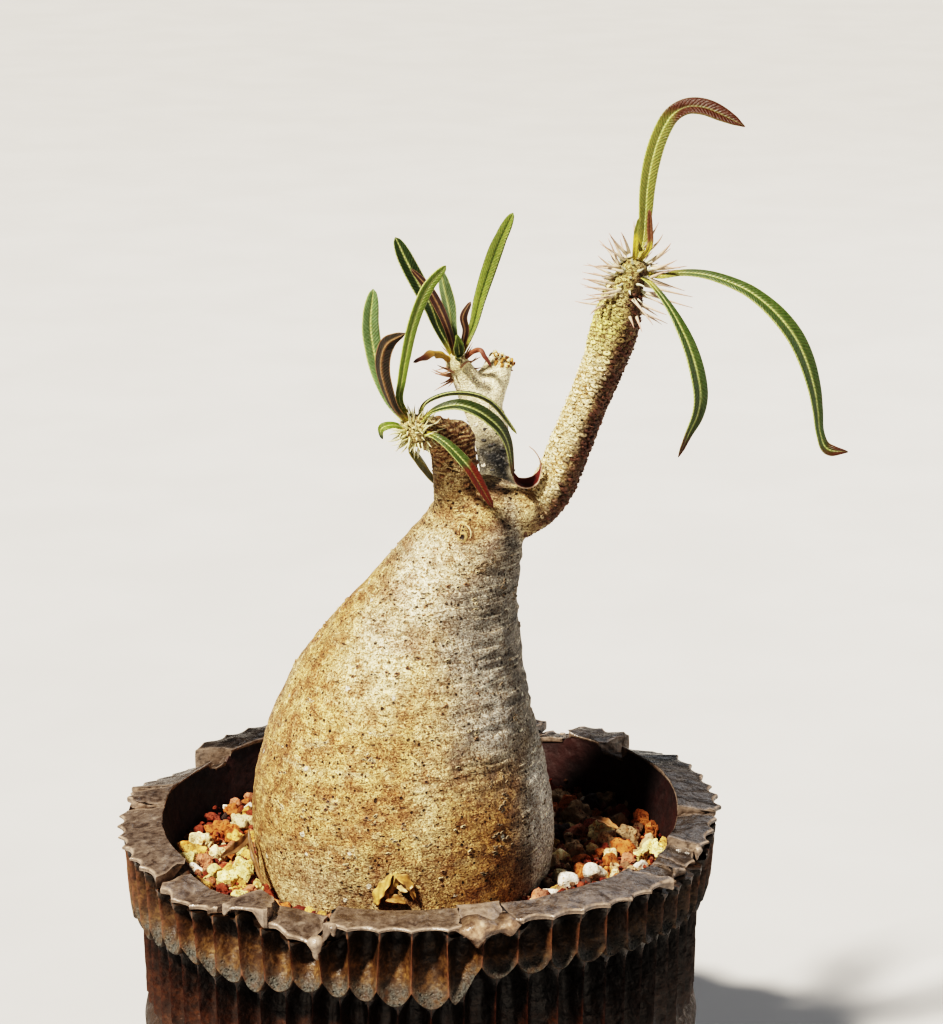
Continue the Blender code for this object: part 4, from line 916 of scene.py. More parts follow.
# Where the skin forks and is smoothed more: centre and reach in mm
FORKS = (((10.5, -7.0, 143.0), 15), ((13.0, 6.5, 163.0), 5.5), ((5.5, -11.5, 158.5), 5),
         ((38.0, -10.5, 189.0), 5))
VOXEL = 0.58
BODY_TOP = 149
KNOT_PLACE = (9.4, -16.5, 142.6)
SHADED_WAY = np.array((0.93, 0.15, -0.33))
# How far right of the stem's axis its shaded side begins: heights and distances in mm
SHADE_EDGE = ((92, 104, 112, 120, 130), (14.5, 14.5, 10.5, 4.5, 1.5))


def ball_points(centre, radius, rings, sides):
    """A ball's points, ring by ring from its foot."""
    turn = np.arange(sides) * 2 * math.pi / sides
    rows = []
    for polar in math.pi * np.arange(1, rings + 1) / (rings + 1):
        rows.append(np.column_stack((np.cos(turn) * math.sin(polar), np.sin(turn) * math.sin(polar),
                                     np.full(sides, -math.cos(polar)))))
    return np.vstack(rows) * radius + np.asarray(centre, float)


def nearest_on(points, line):
    """For each point the gap to a tube round a line of places and widths, and how far along; its length."""
    gap, along = np.full(len(points), 1e9), np.zeros(len(points))
    start = 0.0
    for a, b in zip(line[:-1], line[1:]):
        length = np.linalg.norm(b[:3] - a[:3])
        way = (b[:3] - a[:3]) / length
        t = np.clip((points - a[:3]) @ way, 0, length)
        away = np.linalg.norm(points - a[:3] - t[:, None] * way, axis=1)
        away = away - (a[3] + (b[3] - a[3]) * t / length) / 2
        closer = away < gap
        gap = np.where(closer, away, gap)
        along = np.where(closer, start + t, along)
        start += length
    return gap, along, start


def stem_parts(rings, lines):
    """Caudex, branches, knobs and crowns, each a closed form of its own."""
    parts = Bundle()
    sides, branch_sides, ball_rings, ball_sides = 72, 24, 13, 20
    turn = np.arange(sides) * 2 * math.pi / sides
    body = np.vstack([np.column_stack((x + r * np.cos(turn), y + r * np.sin(turn), np.full(sides, z)))
                      for x, y, z, r in rings])
    parts.add(body, tube_faces(len(rings), sides))
    for line in lines.values():
        parts.add(tube_points(line[:, :3], line[:, 3] / 2, branch_sides), tube_faces(len(line), branch_sides))
    for centre, radius in (*((knob[:3], knob[3]) for knob in KNOBS), *CROWNS):
        parts.add(ball_points(centre, radius, ball_rings, ball_sides), tube_faces(ball_rings, ball_sides))
    return parts


def fused(parts):
    """The parts fused into one skin: its points in mm, its edges and its faces."""
    rough = linked("rough", parts.mesh("rough"))
    remesh = rough.modifiers.new("skin", "REMESH")
    remesh.mode = "VOXEL"
    remesh.voxel_size = VOXEL * MM
    skin = evaluated_mesh(rough)
    points = np.empty(len(skin.vertices) * 3)
    skin.vertices.foreach_get("co", points)
    edges = np.empty(len(skin.edges) * 2, int)
    skin.edges.foreach_get("vertices", edges)
    return points.reshape(-1, 3) / MM, edges.reshape(-1, 2), [tuple(face.vertices) for face in skin.polygons]


def relaxed(points, edges):
    """The skin's points smoothed, three times all over and then where it forks."""
    count = len(points)
    first, second = edges.T
    degree = np.bincount(edges.ravel(), minlength=count)[:, None]
    fork = np.maximum.reduce([near(points, centre, reach) for centre, reach in FORKS])
    for step in range(14):
        total = np.column_stack([np.bincount(first, points[second, k], count)
                                 + np.bincount(second, points[first, k], count) for k in range(3)])
        around_it = total / degree
        points = points + (around_it - points) * (0.5 if step < 3 else 0.55 * fork[:, None])
    return points


class Skin:
    """The points of the stem's skin, and where each lies: on the body or a branch, and how far along it."""

    def __init__(self, points, normals, rings, lines):
        self.normals = normals
        self.axis, axis_y, self.girth = (np.interp(points[:, 2], rings[:, 2], rings[:, k]) for k in (0, 1, 3))
        from_body = np.hypot(points[:, 0] - self.axis, points[:, 1] - axis_y) - self.girth
        from_body = from_body + np.maximum(points[:, 2] - BODY_TOP, 0)
        gaps, self.along, self.length = {}, {}, {}
        for name, line in lines.items():
            gaps[name], self.along[name], self.length[name] = nearest_on(points, line)
        self.branch = smoothstep(-0.8, 1.6, from_body - np.minimum.reduce(list(gaps.values())))
        self.left = smoothstep(1.6, 0.2, gaps["left"]) * self.branch
        self.right = smoothstep(1.6, 0.2, gaps["right"]) * self.branch
        self.mid = smoothstep(1.8, 0.4, np.minimum(gaps["mid"], gaps["mid_stub"])) * self.branch
        along, length = self.along["left"], self.length["left"]
        self.ringed = self.left * smoothstep(4, 9, along) * smoothstep(length, length - 5, along)
        self.move(points)

    def move(self, points):
        self.points, self.height, self.rightward = points, points[:, 2], points[:, 0] - self.axis


def stem_relief(skin):
    """How far each point moves out, in mm: lumps, level creases, low folds, the knot and ring wrinkles."""
    points, height = skin.points, skin.height
    lumps = 0.55 * noise(points, 17, 2.2) + 0.28 * noise(points, 7.5, 5.1) + 0.12 * noise(points, 3.2, 8.3)
    creased = 0.25 + 0.85 * smoothstep(-4, 12, skin.rightward) * smoothstep(84, 100, height)
    creases = 0.40 * np.clip(1 - 2.6 * np.abs(noise(points, (7.0, 7.0, 1.9), 6.6)), 0, 1) * creased
    creases = creases + 0.10 * noise(points, (9.0, 9.0, 1.5), 2.6)
    folds = smoothstep(78, 70, height) * 0.35 * noise(points, (3.5, 3.5, 9.0), 1.1)
    knot = 0.35 * near(points, KNOT_PLACE, 2.4) - 0.9 * near(points, (9.4, -17.0, 142.6), 1.3)
    wave = np.sin(skin.along["left"] * 2 * math.pi / 1.05 + 2.6 * noise(points, 3.2, 3.7))
    rings = skin.ringed * 0.075 * wave * (1 + 0.9 * noise(points, 2.2, 4.4))
    bumps = skin.branch * (0.16 * noise(points, 2.4, 7.7) + 0.08 * noise(points, 1.1, 1.9))
    return (1 - skin.branch) * (lumps + creases + folds) + knot + rings + bumps


def pale_mask(skin, shaded):
    """Bleached bark with painted light: high on the left with a painted highlight in the middle, in patches,
    thin in the shade, a painted rim light low on the right, and the middle branch.
    """
    points, height, rightward = skin.points, skin.height, skin.rightward
    # Painted highlight where the light falls fullest, over bleached bark
    pale = 0.95 * near(points, (-8.0, -30.0, 121.0), (14, 24, 17))
    pale = np.maximum(pale, 0.75 * smoothstep(0, 0.5, near(points, (3.0, -20.0, 134.0), (12, 16, 15))))
    pale = np.maximum(pale, 0.6 * smoothstep(0.2, 0.6, noise(points, (14, 14, 26), 3.9)))
    # Painted rim light along the low right edge
    painted_rim_light = smoothstep(23.4, 27.4, rightward + 1.2 * noise(points, 6, 9.1) + 0.8 * noise(points, 2.6, 3.3))
    painted_rim_light = painted_rim_light * smoothstep(106, 82, height + 6 * noise(points, 9, 2.9))
    pale = np.maximum(pale * (1 - shaded), painted_rim_light * (0.92 + 0.08 * noise(points, 7, 1.7)))
    pale = stained(pale, points, (0.5, (-22.0, -26.0, 76.0), (14, 22, 12)))
    veil = shaded * smoothstep(94, 106, height) * smoothstep(130, 118, height)
    veil = veil * smoothstep(0.96, 0.72, rightward / skin.girth)
    veil = veil * (0.32 + 0.25 * noise(points, (8, 8, 4), 7.3))
    return np.clip(np.maximum.reduce((pale, veil, skin.mid)), 0, 1)


def grey_mask(skin, shaded):
    """Grey bark: painted shade on the shaded side, high patches, the right edge and a low patch, not the left
    or the knot.
    """
    points, height = skin.points, skin.height
    grey = shaded * smoothstep(87, 105, height)
    patches = 0.35 * smoothstep(0.15, 0.5, noise(points, 19, 6.3)) * smoothstep(84, 112, height)
    grey = np.maximum(grey, patches)
    grey = np.maximum(grey, smoothstep(19, 26, skin.rightward))
    grey = stained(grey, points, (0.40, (-12.0, -34.0, 76.0), (17, 17, 13)))
    for centre, reach in (((-22.0, -20.0, 98.0), (24, 28, 18)), (KNOT_PLACE, (7, 8, 4))):
        grey = grey * (1 - 0.9 * near(points, centre, reach))
    return grey


def ruddy_mask(skin):
    """Painted shade: ruddy brown on the shaded undersides of the right and left branches."""
    points = skin.points
    turned = skin.normals @ SHADED_WAY + 0.22 * noise(points, 3.0, 5.7)
    ruddy = skin.right * smoothstep(-0.30, 0.30, turned) * (0.90 + 0.10 * noise(points, 6.0, 2.3))
    ruddy = ruddy * smoothstep(2, 15, skin.along["right"] + 4 * noise(points, 4.0, 7.1))
    return np.maximum(ruddy, 0.9 * skin.left * smoothstep(0.0, 0.6, turned))


def slate_mask(skin):
    """Painted shadow of the left crown: the dark lower part of the middle branch, fading upwards and weaker on
    its back and right.
    """
    points, along = skin.points, skin.along["mid"]
    worn = 0.14 * noise(points, 4, 8.8) + 0.10 * noise(points, 1.6, 1.3)
    slate = skin.mid * smoothstep(0.90, 0.30, along / skin.length["mid"] + worn)
    slate = slate * smoothstep(165, 153, skin.height)
    slate = slate * smoothstep(-2, 3, along + 3 * noise(points, 3, 4.1))
    facing = smoothstep(0.7, -0.1, skin.normals @ (0.8, 0.6, 0.0) + 0.3 * noise(points, 2.2, 6.2))
    return slate * (0.40 + 0.60 * facing)


def umber_mask(skin):
    """Umber brown: the low right front, its foot, a band across the middle, and painted shade along the left
    edge.
    """
    points = skin.points
    umber = stained(np.zeros(len(points)), points, (1.0, (17.0, -26.0, 85.0), (21, 28, 25)),
                    (0.55, (10.0, -34.0, 72.0), (28, 30, 18)))
    umber = umber * smoothstep(27.5, 24.0, skin.rightward)
    band = near(points, (2.0, -26.0, 107.0), (22, 24, 9))
    band = band * smoothstep(-0.6, 0.5, noise(points, (9, 9, 3), 6.1))
    # The first two of these darken the left edge as painted shade
    return stained(np.maximum(umber, 0.50 * band), points, (0.46, (-31.0, -16.0, 90.0), (17, 30, 24)),
                   (0.46, (-16.0, -4.0, 122.0), (12, 30, 26)), (0.20, (-27.0, -30.0, 93.0), (17, 26, 17)),
                   (0.85, (16.0, -26.0, 94.0), (13, 22, 13)))


def paint_bark(mesh, skin):
    """Paints the masks that the bark's material reads."""
    points = skin.points
    border = skin.rightward - np.interp(skin.height, *SHADE_EDGE)
    shaded = smoothstep(-7, 7, border + 5 * noise(points, 10, 4.5) + 2 * noise(points, 3, 2.5))
    length, along = skin.length["right"], skin.along["right"]
    green = 0.85 * skin.right * smoothstep(length - 26, length - 4, along)
    green = stained(green, points, *((0.9, centre, radius + 2.6) for centre, radius in CROWNS))
    length, along = skin.length["left"], skin.along["left"]
    rings = np.clip(skin.ringed * (0.10 + 0.80 * smoothstep(length * 0.45, length * 0.80, along)), 0, 1)
    rings = stained(rings, points, (0.16, (8.6, -16.0, 145.5), (4.5, 6.0, 7.0)))
    paint(mesh, "zones", np.column_stack((skin.branch, green, pale_mask(skin, shaded), rings)))
    tint = (grey_mask(skin, shaded), ruddy_mask(skin), slate_mask(skin), umber_mask(skin))
    paint(mesh, "tint", np.column_stack(tint))


def make_stem(finish):
    """Caudex, branches and crowns as one skin. Gives the branches' lines, and the skin as a search tree."""
    rings = smooth_line([(x, y, z, r) for z, x, y, r in CAUDEX], 70)
    lines = {name: smooth_line(points, 40) for name, points in BRANCHES.items()}
    points, edges, faces = fused(stem_parts(rings, lines))
    points = relaxed(points, edges)
    mesh = mesh_of("stem", points, faces)
    normals = np.empty(len(points) * 3)
    mesh.vertex_normals.foreach_get("vector", normals)
    skin = Skin(points, normals.reshape(-1, 3), rings, lines)
    skin.move(points + skin.normals * stem_relief(skin)[:, None])
    mesh.vertices.foreach_set("co", (skin.points * MM).ravel())
    mesh.update()
    paint_bark(mesh, skin)
    piece("stem", mesh, finish, ("trunk",))
    return lines, BVHTree.FromPolygons(skin.points.tolist(), faces)


# Clusters of old leaf scars on the swollen stem: the pixel they are seen at and their reach in mm
SCARS = (
    (357, 655, 1.5), (358, 671, 1.1), (412, 664, 1.2), (397, 676, 0.8), (459, 664, 1.1), (469, 685, 1.3),
    (365, 763, 1.4), (427, 778, 1.0), (473, 766, 1.3), (506, 572, 1.3), (514, 595, 1.4), (454, 641, 1.0),
    (459, 588, 0.9), (488, 561, 0.9), (430, 600, 0.8), (402, 618, 0.9), (345, 720, 0.9), (318, 742, 1.0),
    (392, 735, 0.8), (446, 712, 0.8), (333, 806, 1.2), (300, 812, 0.9), (372, 823, 0.9), (421, 838, 1.0),
    (462, 818, 1.2), (492, 782, 0.9), (505, 842, 1.1), (285, 770, 0.9), (311, 856, 0.9), (352, 870, 0.9),
    (441, 880, 0.9), (485, 872, 1.0), (476, 732, 0.9), (499, 690, 0.9), (426, 560, 0.7), (447, 545, 0.7),
    (506, 795, 0.5), (503, 808, 0.6), (500, 822, 0.5), (498, 836, 0.6), (496, 850, 0.5),
)
# Colours of their lips: on pale bark, on brown bark, and, darker as painted shade, on the side that starts this
# far right in mm
PALE_LIP, BROWN_LIP, SHADED_LIP = (0.66, 0.53, 0.33), (0.34, 0.19, 0.10), (0.30, 0.22, 0.14)
SHADED_FROM = 12.0
# A crater's rings: share of its radius, share of its rise, and share of the lip's colour; the rest is the dark
# centre, painted shade in the slit
CRATER = ((1.60, -0.6, 0.75), (1.20, 0.30, 0.95), (0.90, 1.0, 0.9), (0.66, 0.75, 0.15), (0.48, 0.36, 0.0),
          (0.10, 0.28, 0.0))
# The knot under the fork: pixel, radius and rise in mm of each of its craters
KNOT = ((462, 537, 0.62, 0.26), (463, 531, 0.34, 0.22), (464, 527, 0.30, 0.18))
# Wrinkles that curl round it: half width and height in pixels, first and last angle, width in mm, dark or not
KNOT_ARCS = (
    (2.6, 9, 175, 300, 0.26, True), (5.2, 10, 150, 255, 0.18, True), (7, 9, 285, 385, 0.22, True),
    (11, 11, 300, 400, 0.16, True), (6, 8, 25, 80, 0.16, True), (12, 17, 235, 300, 0.22, True),
    (17, 23, 240, 285, 0.18, True), (14, 28, 250, 296, 0.22, True), (21, 19, 315, 345, 0.16, True),
    (4.2, 12, 195, 290, 0.18, False), (9, 10, 290, 390, 0.18, False), (10, 20, 245, 300, 0.18, False),
)


def square_to(way, hint):
    """Two directions square to a way and to each other."""
    side = unit(np.cross(way, hint))
    return side, np.cross(way, side)


def skin_at(tree, px, py):
    """Where the stem's skin is seen at a pixel, and which way it faces there."""
    hit, normal, _, _ = tree.ray_cast(Vector(CAMERA), Vector(ray(px, py)))
    return np.array(hit), np.array(normal)


def crater(parts, place, normal, radius, rise, dice, rim, centre, squash):
    """A low crusty lip round a slit painted dark as shade, lying roughly level on the skin."""
    sides = 10
    up = unit(np.array((0.0, 0.0, 1.0)) - normal * normal[2])
    side = np.cross(up, normal)
    lean = dice.normal(0, 0.4)
    turns = np.arange(sides) * 2 * math.pi / sides
    across, rising = side * math.cos(lean) + up * math.sin(lean), up * math.cos(lean) - side * math.sin(lean)
    ring = np.cos(turns)[:, None] * across + np.sin(turns)[:, None] * rising * squash
    uneven = (1 + 0.20 * dice.normal(size=sides))[:, None]
    points = np.vstack([place + ring * uneven * radius * out + normal * rise * high
                        for out, high, _ in CRATER])
    shades = [np.asarray(rim) * lip + np.asarray(centre) * (1 - lip) for _, _, lip in CRATER]
    parts.add(points, tube_faces(len(CRATER), sides), np.repeat(shades, sides, axis=0))


def make_scars(tree, finish):
    """Clusters of pitted leaf scars and stubs over the swollen stem, and the knot with its wrinkles."""
    dice = rng_of(61)
    parts = Bundle()
    places = [(CAMERA, ray(px, py), reach, 600) for px, py, reach in SCARS]
    for _ in range(110):
        turn, z = dice.uniform(0, 2 * math.pi), dice.uniform(76, 136)
        start = np.array((120 * math.cos(turn), 120 * math.sin(turn), z))
        if start[1] < -20 and z < 130 and dice.random() < 0.55:
            continue
        places.append((start, unit(np.array((-2.0, -7.0, z)) - start), dice.uniform(0.5, 1.2), 110))
    for start, way, reach, distance in places:
        for _ in range(dice.integers(2, 6)):
            askew = unit(way + dice.normal(0, 1.0, 3) * reach / distance)
            hit, normal, _, _ = tree.ray_cast(Vector(start), Vector(askew))
            if hit is None or hit.z > 146 or hit.z < 72:
                continue
            rim = PALE_LIP if dice.random() > 0.35 else BROWN_LIP
            if hit.x > SHADED_FROM:
                rim = SHADED_LIP
            radius, rise = dice.uniform(0.26, 0.50), dice.uniform(0.12, 0.30)
            rim = np.array(rim) * dice.uniform(0.8, 1.1)
            crater(parts, np.array(hit), np.array(normal), radius, rise, dice, rim, (0.018, 0.009, 0.006),
                   dice.uniform(0.28, 0.6))
    for px, py, radius, rise in KNOT:
        place, normal = skin_at(tree, px, py)
        crater(parts, place, normal, radius, rise, dice, (0.50, 0.34, 0.15), (0.016, 0.006, 0.003), 1.5)
    middle_x, middle_y = KNOT[0][0], KNOT[0][1] - 3
    steps, sides = 20, 6
    for wide, tall, first, last, width, dark in KNOT_ARCS:
        line = []
        for angle in np.radians(np.linspace(first, last, steps)):
            px, py = middle_x + wide * math.cos(angle), middle_y + tall * math.sin(angle)
            place, normal = skin_at(tree, px, py)
            line.append(place + normal * (0.0 if dark else 0.06))
        girth = width / 2 * np.sqrt(np.sin(np.linspace(0.1, math.pi - 0.1, steps)))
        shade = (0.13, 0.062, 0.026) if dark else (0.80, 0.68, 0.42)
        parts.add(tube_points(np.array(line), girth, sides), tube_faces(steps, sides), shade)
    piece("leaf_scars", parts.mesh("leaf_scars"), finish)


STUB_TONES = ((0.84, 0.72, 0.44), (0.52, 0.26, 0.07), (0.74, 0.54, 0.22), (0.20, 0.07, 0.025),
              (0.76, 0.66, 0.44))


def make_stub_top(finish):
    """The dry torn top of the cut stub."""
    dice = rng_of(71)
    directions, faces = ico(2)
    end, before = np.array(BRANCHES["mid_stub"][-1][:3]), np.array(BRANCHES["mid_stub"][-2][:3])
    way = unit(end - before)
    side, other = square_to(way, (0.0, 1.0, 0.0))
    parts = Bundle()
    for _ in range(300):
        turn, out = dice.uniform(0, 2 * math.pi), 2.6 * math.sqrt(dice.uniform(0.02, 1))
        drop = dice.uniform(-2.4, 0.2) if out > 2.2 else dice.uniform(-0.4, 0.5)
        place = end + (side * math.cos(turn) + other * math.sin(turn)) * out + way * drop
        size = dice.uniform(0.15, 0.38)
        points, _ = grain_shape(directions, size, dice)
        points = points + (points @ way)[:, None] * way * dice.uniform(-0.3, 1.4)
        tone = np.array(STUB_TONES[dice.integers(len(STUB_TONES))])
        parts.add(points + place, faces, tone * dice.uniform(0.8, 1.1))
    piece("stub_top", parts.mesh("stub_top"), finish)


# Leaf bases up each branch: number, first and last share along, width and rise in mm
LEAF_BASES = {"right": (1080, 0.10, 0.955, 0.38, 0.25), "mid": (80, 0.30, 0.92, 0.32, 0.18),
              "left": (70, 0.45, 0.92, 0.42, 0.25)}
# A leaf base's lower rings, as shares of its width and rise, and how far each slips up the branch
BASE_RINGS = ((1.35, -0.6, 0), (1.05, 0.35, -0.05), (0.76, 1.0, -0.12))
# Painted light and shade of each ring, dark at the bump's foot, light on its top: for the lower rings and the
# first inner one
BASE_PAINTED_LIGHT = (0.40, 0.78, 1.08, 0.92)


def base_colour(name, share, age, shaded, dice):
    """The colour of a leaf base: pale to green up the right branch with painted shade on its shaded side, dark
    grey as painted shadow low on the middle branch with a few bleached, or brown.
    """
    if name == "right":
        green = float(smoothstep(0.68, 0.84, age) * smoothstep(1.02, 0.90, age))
        base = np.array((0.93, 0.78, 0.48)) * (1 - green) + np.array((0.76, 0.66, 0.24)) * green
        dice.random()  # Not used: it keeps the draws that follow as they are
        # Painted shade on the branch's shaded side
        return base * (1 - shaded) + np.array((0.13, 0.055, 0.032)) * shaded
    if name == "mid":
        bleached = share > 0.62 or dice.random() < 0.14
        # Painted shadow: dark grey low on the middle branch
        return np.array((0.78, 0.70, 0.56) if bleached else (0.07, 0.07, 0.07))
    return np.array((0.36, 0.20, 0.10))


def make_tubercles(lines, finish):
    """Rows of little leaf-base bumps with dark broken tips up the branches."""
    dice = rng_of(21)
    parts = Bundle()
    sides = 8
    turns = np.arange(sides) * 2 * math.pi / sides
    for name, (count, first, last, width, rise) in LEAF_BASES.items():
        line = smooth_line(lines[name], 240)
        along = unit(np.gradient(line[:, :3], axis=0))
        for k in range(count):
            share = first + (last - first) * (k + 0.5) / count
            at = int(share * (len(line) - 1))
            axis = along[at]
            side, other = square_to(axis, (0.3, 0.9, 0.2))
            turn = k * GOLDEN_ANGLE + dice.normal(0, 0.05)
            out = side * math.cos(turn) + other * math.sin(turn)
            aim = unit(out + axis * 0.25)
            across = unit(np.cross(aim, axis))
            up = np.cross(across, aim)
            size = width * dice.uniform(0.50, 1.45)
            tall = rise * dice.uniform(0.6, 1.35)
            root = line[at, :3] + out * (line[at, 3] / 2 - 0.12)
            ring = np.cos(turns)[:, None] * across * 1.3 + np.sin(turns)[:, None] * up * 0.85
            thorn = 1.9 if dice.random() < 0.4 else 0.2
            uneven = (1 + 0.14 * dice.normal(size=sides))[:, None]
            inner = ((0.42, 0.85, 0.15), (0.24, 0.3, 0.3), (0.07, thorn, 0.35))
            if dice.random() < 0.5:
                inner = ((0.46, 1.15, 0.15), (0.26, 1.20, 0.3), (0.07, max(thorn, 1.2), 0.35))
            rings = (*BASE_RINGS, *inner)
            points = np.vstack([root + ring * uneven * size * wide + aim * tall * high + up * size * slip
                                for wide, high, slip in rings])
            age = (share - first) / (last - first)
            shaded = float(smoothstep(-0.35, 0.25, np.dot(out, SHADED_WAY) + dice.normal(0, 0.10)))
            base = base_colour(name, share, age, shaded, dice) * dice.uniform(0.60, 1.18)
            dark = np.array((0.045, 0.018, 0.010)) * (1 - age * 0.3) + base * dice.uniform(0.0, 0.35)
            shades = [*(base * light for light in BASE_PAINTED_LIGHT), dark, dark * 0.8]
            parts.add(points, tube_faces(len(rings), sides), np.repeat(shades, sides, axis=0))
    piece("tubercles", parts.mesh("tubercles"), finish)


SPINE_TAPER = np.array((1.15, 0.92, 0.74, 0.55, 0.35, 0.10))


def spine(parts, root, tip, bend, width, colours):
    """One curved tapering spine from root to tip."""
    count, sides = len(SPINE_TAPER), 6
    root, tip = np.asarray(root, float), np.asarray(tip, float)
    middle = (root + tip) / 2 + np.asarray(bend, float)
    share = np.linspace(0, 1, count)[:, None]
    line = (1 - share) ** 2 * root + 2 * share * (1 - share) * middle + share ** 2 * tip
    tones = np.repeat(np.linspace(0, 1, count), sides)[:, None]
    shade = np.asarray(colours[0]) * (1 - tones) + np.asarray(colours[1]) * tones
    parts.add(tube_points(line, width / 2 * SPINE_TAPER, sides), tube_faces(count, sides), shade)


# Spines on the right crown as pixels of the photograph: tip, then root
RIGHT_SPINES = (
    ((600, 244), (622, 258)), ((609, 233), (625, 252)), ((608, 238), (618, 265)), ((621, 232), (628, 250)),
    ((634, 221), (637, 240)), ((659, 222), (653, 235)), ((663, 234), (652, 247)), ((671, 243), (655, 258)),
    ((677, 260), (655, 270)), ((680, 268), (655, 266)), ((687, 266), (667, 273)), ((669, 270), (651, 278)),
    ((583, 265), (620, 271)), ((582, 272), (612, 277)), ((596, 266), (618, 267)), ((582, 279), (612, 284)),
    ((584, 287), (612, 290)), ((590, 295), (617, 291)), ((582, 300), (610, 297)), ((591, 303), (612, 296)),
    ((590, 315), (605, 306)), ((685, 291), (655, 281)), ((693, 297), (665, 292)), ((693, 308), (662, 299)),
    ((668, 308), (645, 297)), ((667, 315), (648, 306)), ((668, 324), (648, 316)), ((653, 325), (635, 302)),
    ((642, 332), (638, 316)), ((634, 328), (630, 318)),
)
# Spines on the left crown and the middle crown, likewise
LEFT_SPINES = (
    ((388, 436), (402, 433)), ((386, 441), (401, 437)), ((390, 446), (403, 440)), ((394, 451), (405, 443)),
    ((399, 455), (408, 445)), ((404, 449), (411, 440)), ((410, 452), (413, 444)), ((415, 453), (416, 445)),
    ((421, 451), (419, 443)), ((393, 440), (404, 436)), ((398, 446), (407, 440)), ((407, 412), (409, 421)),
    ((411, 416), (412, 424)), ((429, 418), (424, 427)), ((433, 424), (425, 431)), ((434, 433), (426, 436)),
    ((391, 431), (403, 431)), ((399, 424), (408, 428)), ((416, 420), (416, 428)),
)
MID_SPINES = (
    ((432, 369), (447, 374)), ((435, 374), (448, 376)), ((434, 391), (450, 383)), ((431, 371), (446, 378)),
    ((440, 384), (451, 380)), ((437, 365), (449, 370)), ((472, 361), (463, 366)), ((446, 366), (452, 371)),
)


# Colours of the spines, root and tip
PINK_HORN, PALE_HORN = ((0.72, 0.62, 0.46), (0.46, 0.25, 0.20)), ((0.66, 0.66, 0.46), (0.74, 0.72, 0.58))
WHITE_HORN, RUST_HORN = ((0.70, 0.66, 0.34), (0.80, 0.74, 0.56)), ((0.46, 0.28, 0.17), (0.26, 0.10, 0.07))
# Each crown with its spines in the photograph and their crown's radius, length, width and colours; then the
# rounds of spines all about it: number, crown's radius, first and last height on it, least and greatest
# length, width, colours, and whether the front is left free
SPINES = {
    "right": (CROWN_RIGHT, RIGHT_SPINES, (3.5, 6.0, 0.66, PINK_HORN), (
        (56, 3.6, -8.0, 1.6, (4.4, 6.2), 0.62, PINK_HORN, True),
        (34, 3.3, -4.5, 2.0, (1.4, 3.0), 0.55, PALE_HORN, False))),
    "left": (CROWN_LEFT, LEFT_SPINES, (3.1, 3.2, 0.5, WHITE_HORN), (
        (80, 3.1, -2.6, 2.9, (1.8, 3.0), 0.42, WHITE_HORN, False),)),
    "mid": (CROWN_MID, MID_SPINES, (2.7, 3.2, 0.5, RUST_HORN), (
        (34, 2.5, -3.4, 1.6, (1.8, 3.2), 0.42, RUST_HORN, True),)),
}


def crown_spines(parts, pairs, centre, stem_way, dice, radius, length, width, colours):
    """Spines whose tips and roots fall on given pixels, rooted on the crown that carries them."""
    for (tip_x, tip_y), (root_x, root_y) in pairs:
        way = ray(root_x, root_y)
        closest = CAMERA + way * np.dot(centre - CAMERA, way)
        slide = np.dot(closest - centre, stem_way)
        level = centre + stem_way * min(slide, radius * 0.6)
        gap = closest - level
        away = np.linalg.norm(gap)
        front = math.sqrt(max(radius ** 2 - away ** 2, 0.0))
        root = closest - way * front
        if away > radius:
            root = level + gap / away * radius
        outward = unit(root - level)
        far = ray(tip_x, tip_y)
        flat = CAMERA + far * np.dot(root - CAMERA, far)
        short = np.linalg.norm(flat - root)
        lift = math.sqrt(max(length ** 2 - short ** 2, 0.0)) * (1 if outward[1] < 0.2 else -1)
        tip = flat - far * lift * 0.8
        inward = root - unit(tip - root) * 0.7
        bend = dice.normal(0, 0.34, 3) + outward * 0.2
        spine(parts, inward, tip, bend, width * dice.uniform(0.85, 1.15), colours)


def round_spines(parts, centre, stem_way, dice, count, radius, low, high, lengths, width, colours, front_free):
    """Spines all round a crown or branch end, where the photograph's own do not tell."""
    side, other = square_to(stem_way, (0.2, 1.0, 0.1))
    for k in range(count):
        share = (k + 0.5) / count
        turn = k * GOLDEN_ANGLE
        out = side * math.cos(turn) + other * math.sin(turn)
        if front_free and out[1] < -0.15:
            continue
        height = low + (high - low) * share
        girth = radius * math.sqrt(max(1 - (max(height, 0) / radius) ** 2, 0.15))
        root = centre + stem_way * height + out * (girth - 0.5)
        aim = unit(out + stem_way * (-0.25 + 1.1 * share ** 1.5) + dice.normal(0, 0.12, 3))
        spine(parts, root, root + aim * dice.uniform(*lengths), dice.normal(0, 0.2, 3), width, colours)


def make_spines(lines, finish):
    """The spines of the three crowns."""
    dice = rng_of(33)
    for name, (centre, pairs, seen, rounds) in SPINES.items():
        parts = Bundle()
        centre = np.array(centre, float)
        stem_way = unit(lines[name][-1, :3] - lines[name][-5, :3])
        crown_spines(parts, pairs, centre, stem_way, dice, *seen)
        for numbers in rounds:
            round_spines(parts, centre, stem_way, dice, *numbers)
        piece("spines_" + name, parts.mesh("spines_" + name), finish)


# Leaves

GREEN, OLIVE, GREY_GREEN = (0.050, 0.072, 0.020), (0.150, 0.150, 0.040), (0.130, 0.185, 0.085)
LIME, BROWN, RED = (0.125, 0.165, 0.030), (0.024, 0.013, 0.006), (0.060, 0.016, 0.007)
CREAM, PINK, YELLOW = (0.46, 0.48, 0.21), (0.34, 0.19, 0.10), (0.38, 0.31, 0.06)
MAROON, SCARLET, RUSSET = (0.046, 0.012, 0.008), (0.120, 0.018, 0.008), (0.150, 0.060, 0.030)
DARK_GREEN, PALE_GREEN, MOSS = (0.026, 0.042, 0.013), (0.140, 0.170, 0.042), (0.030, 0.040, 0.011)

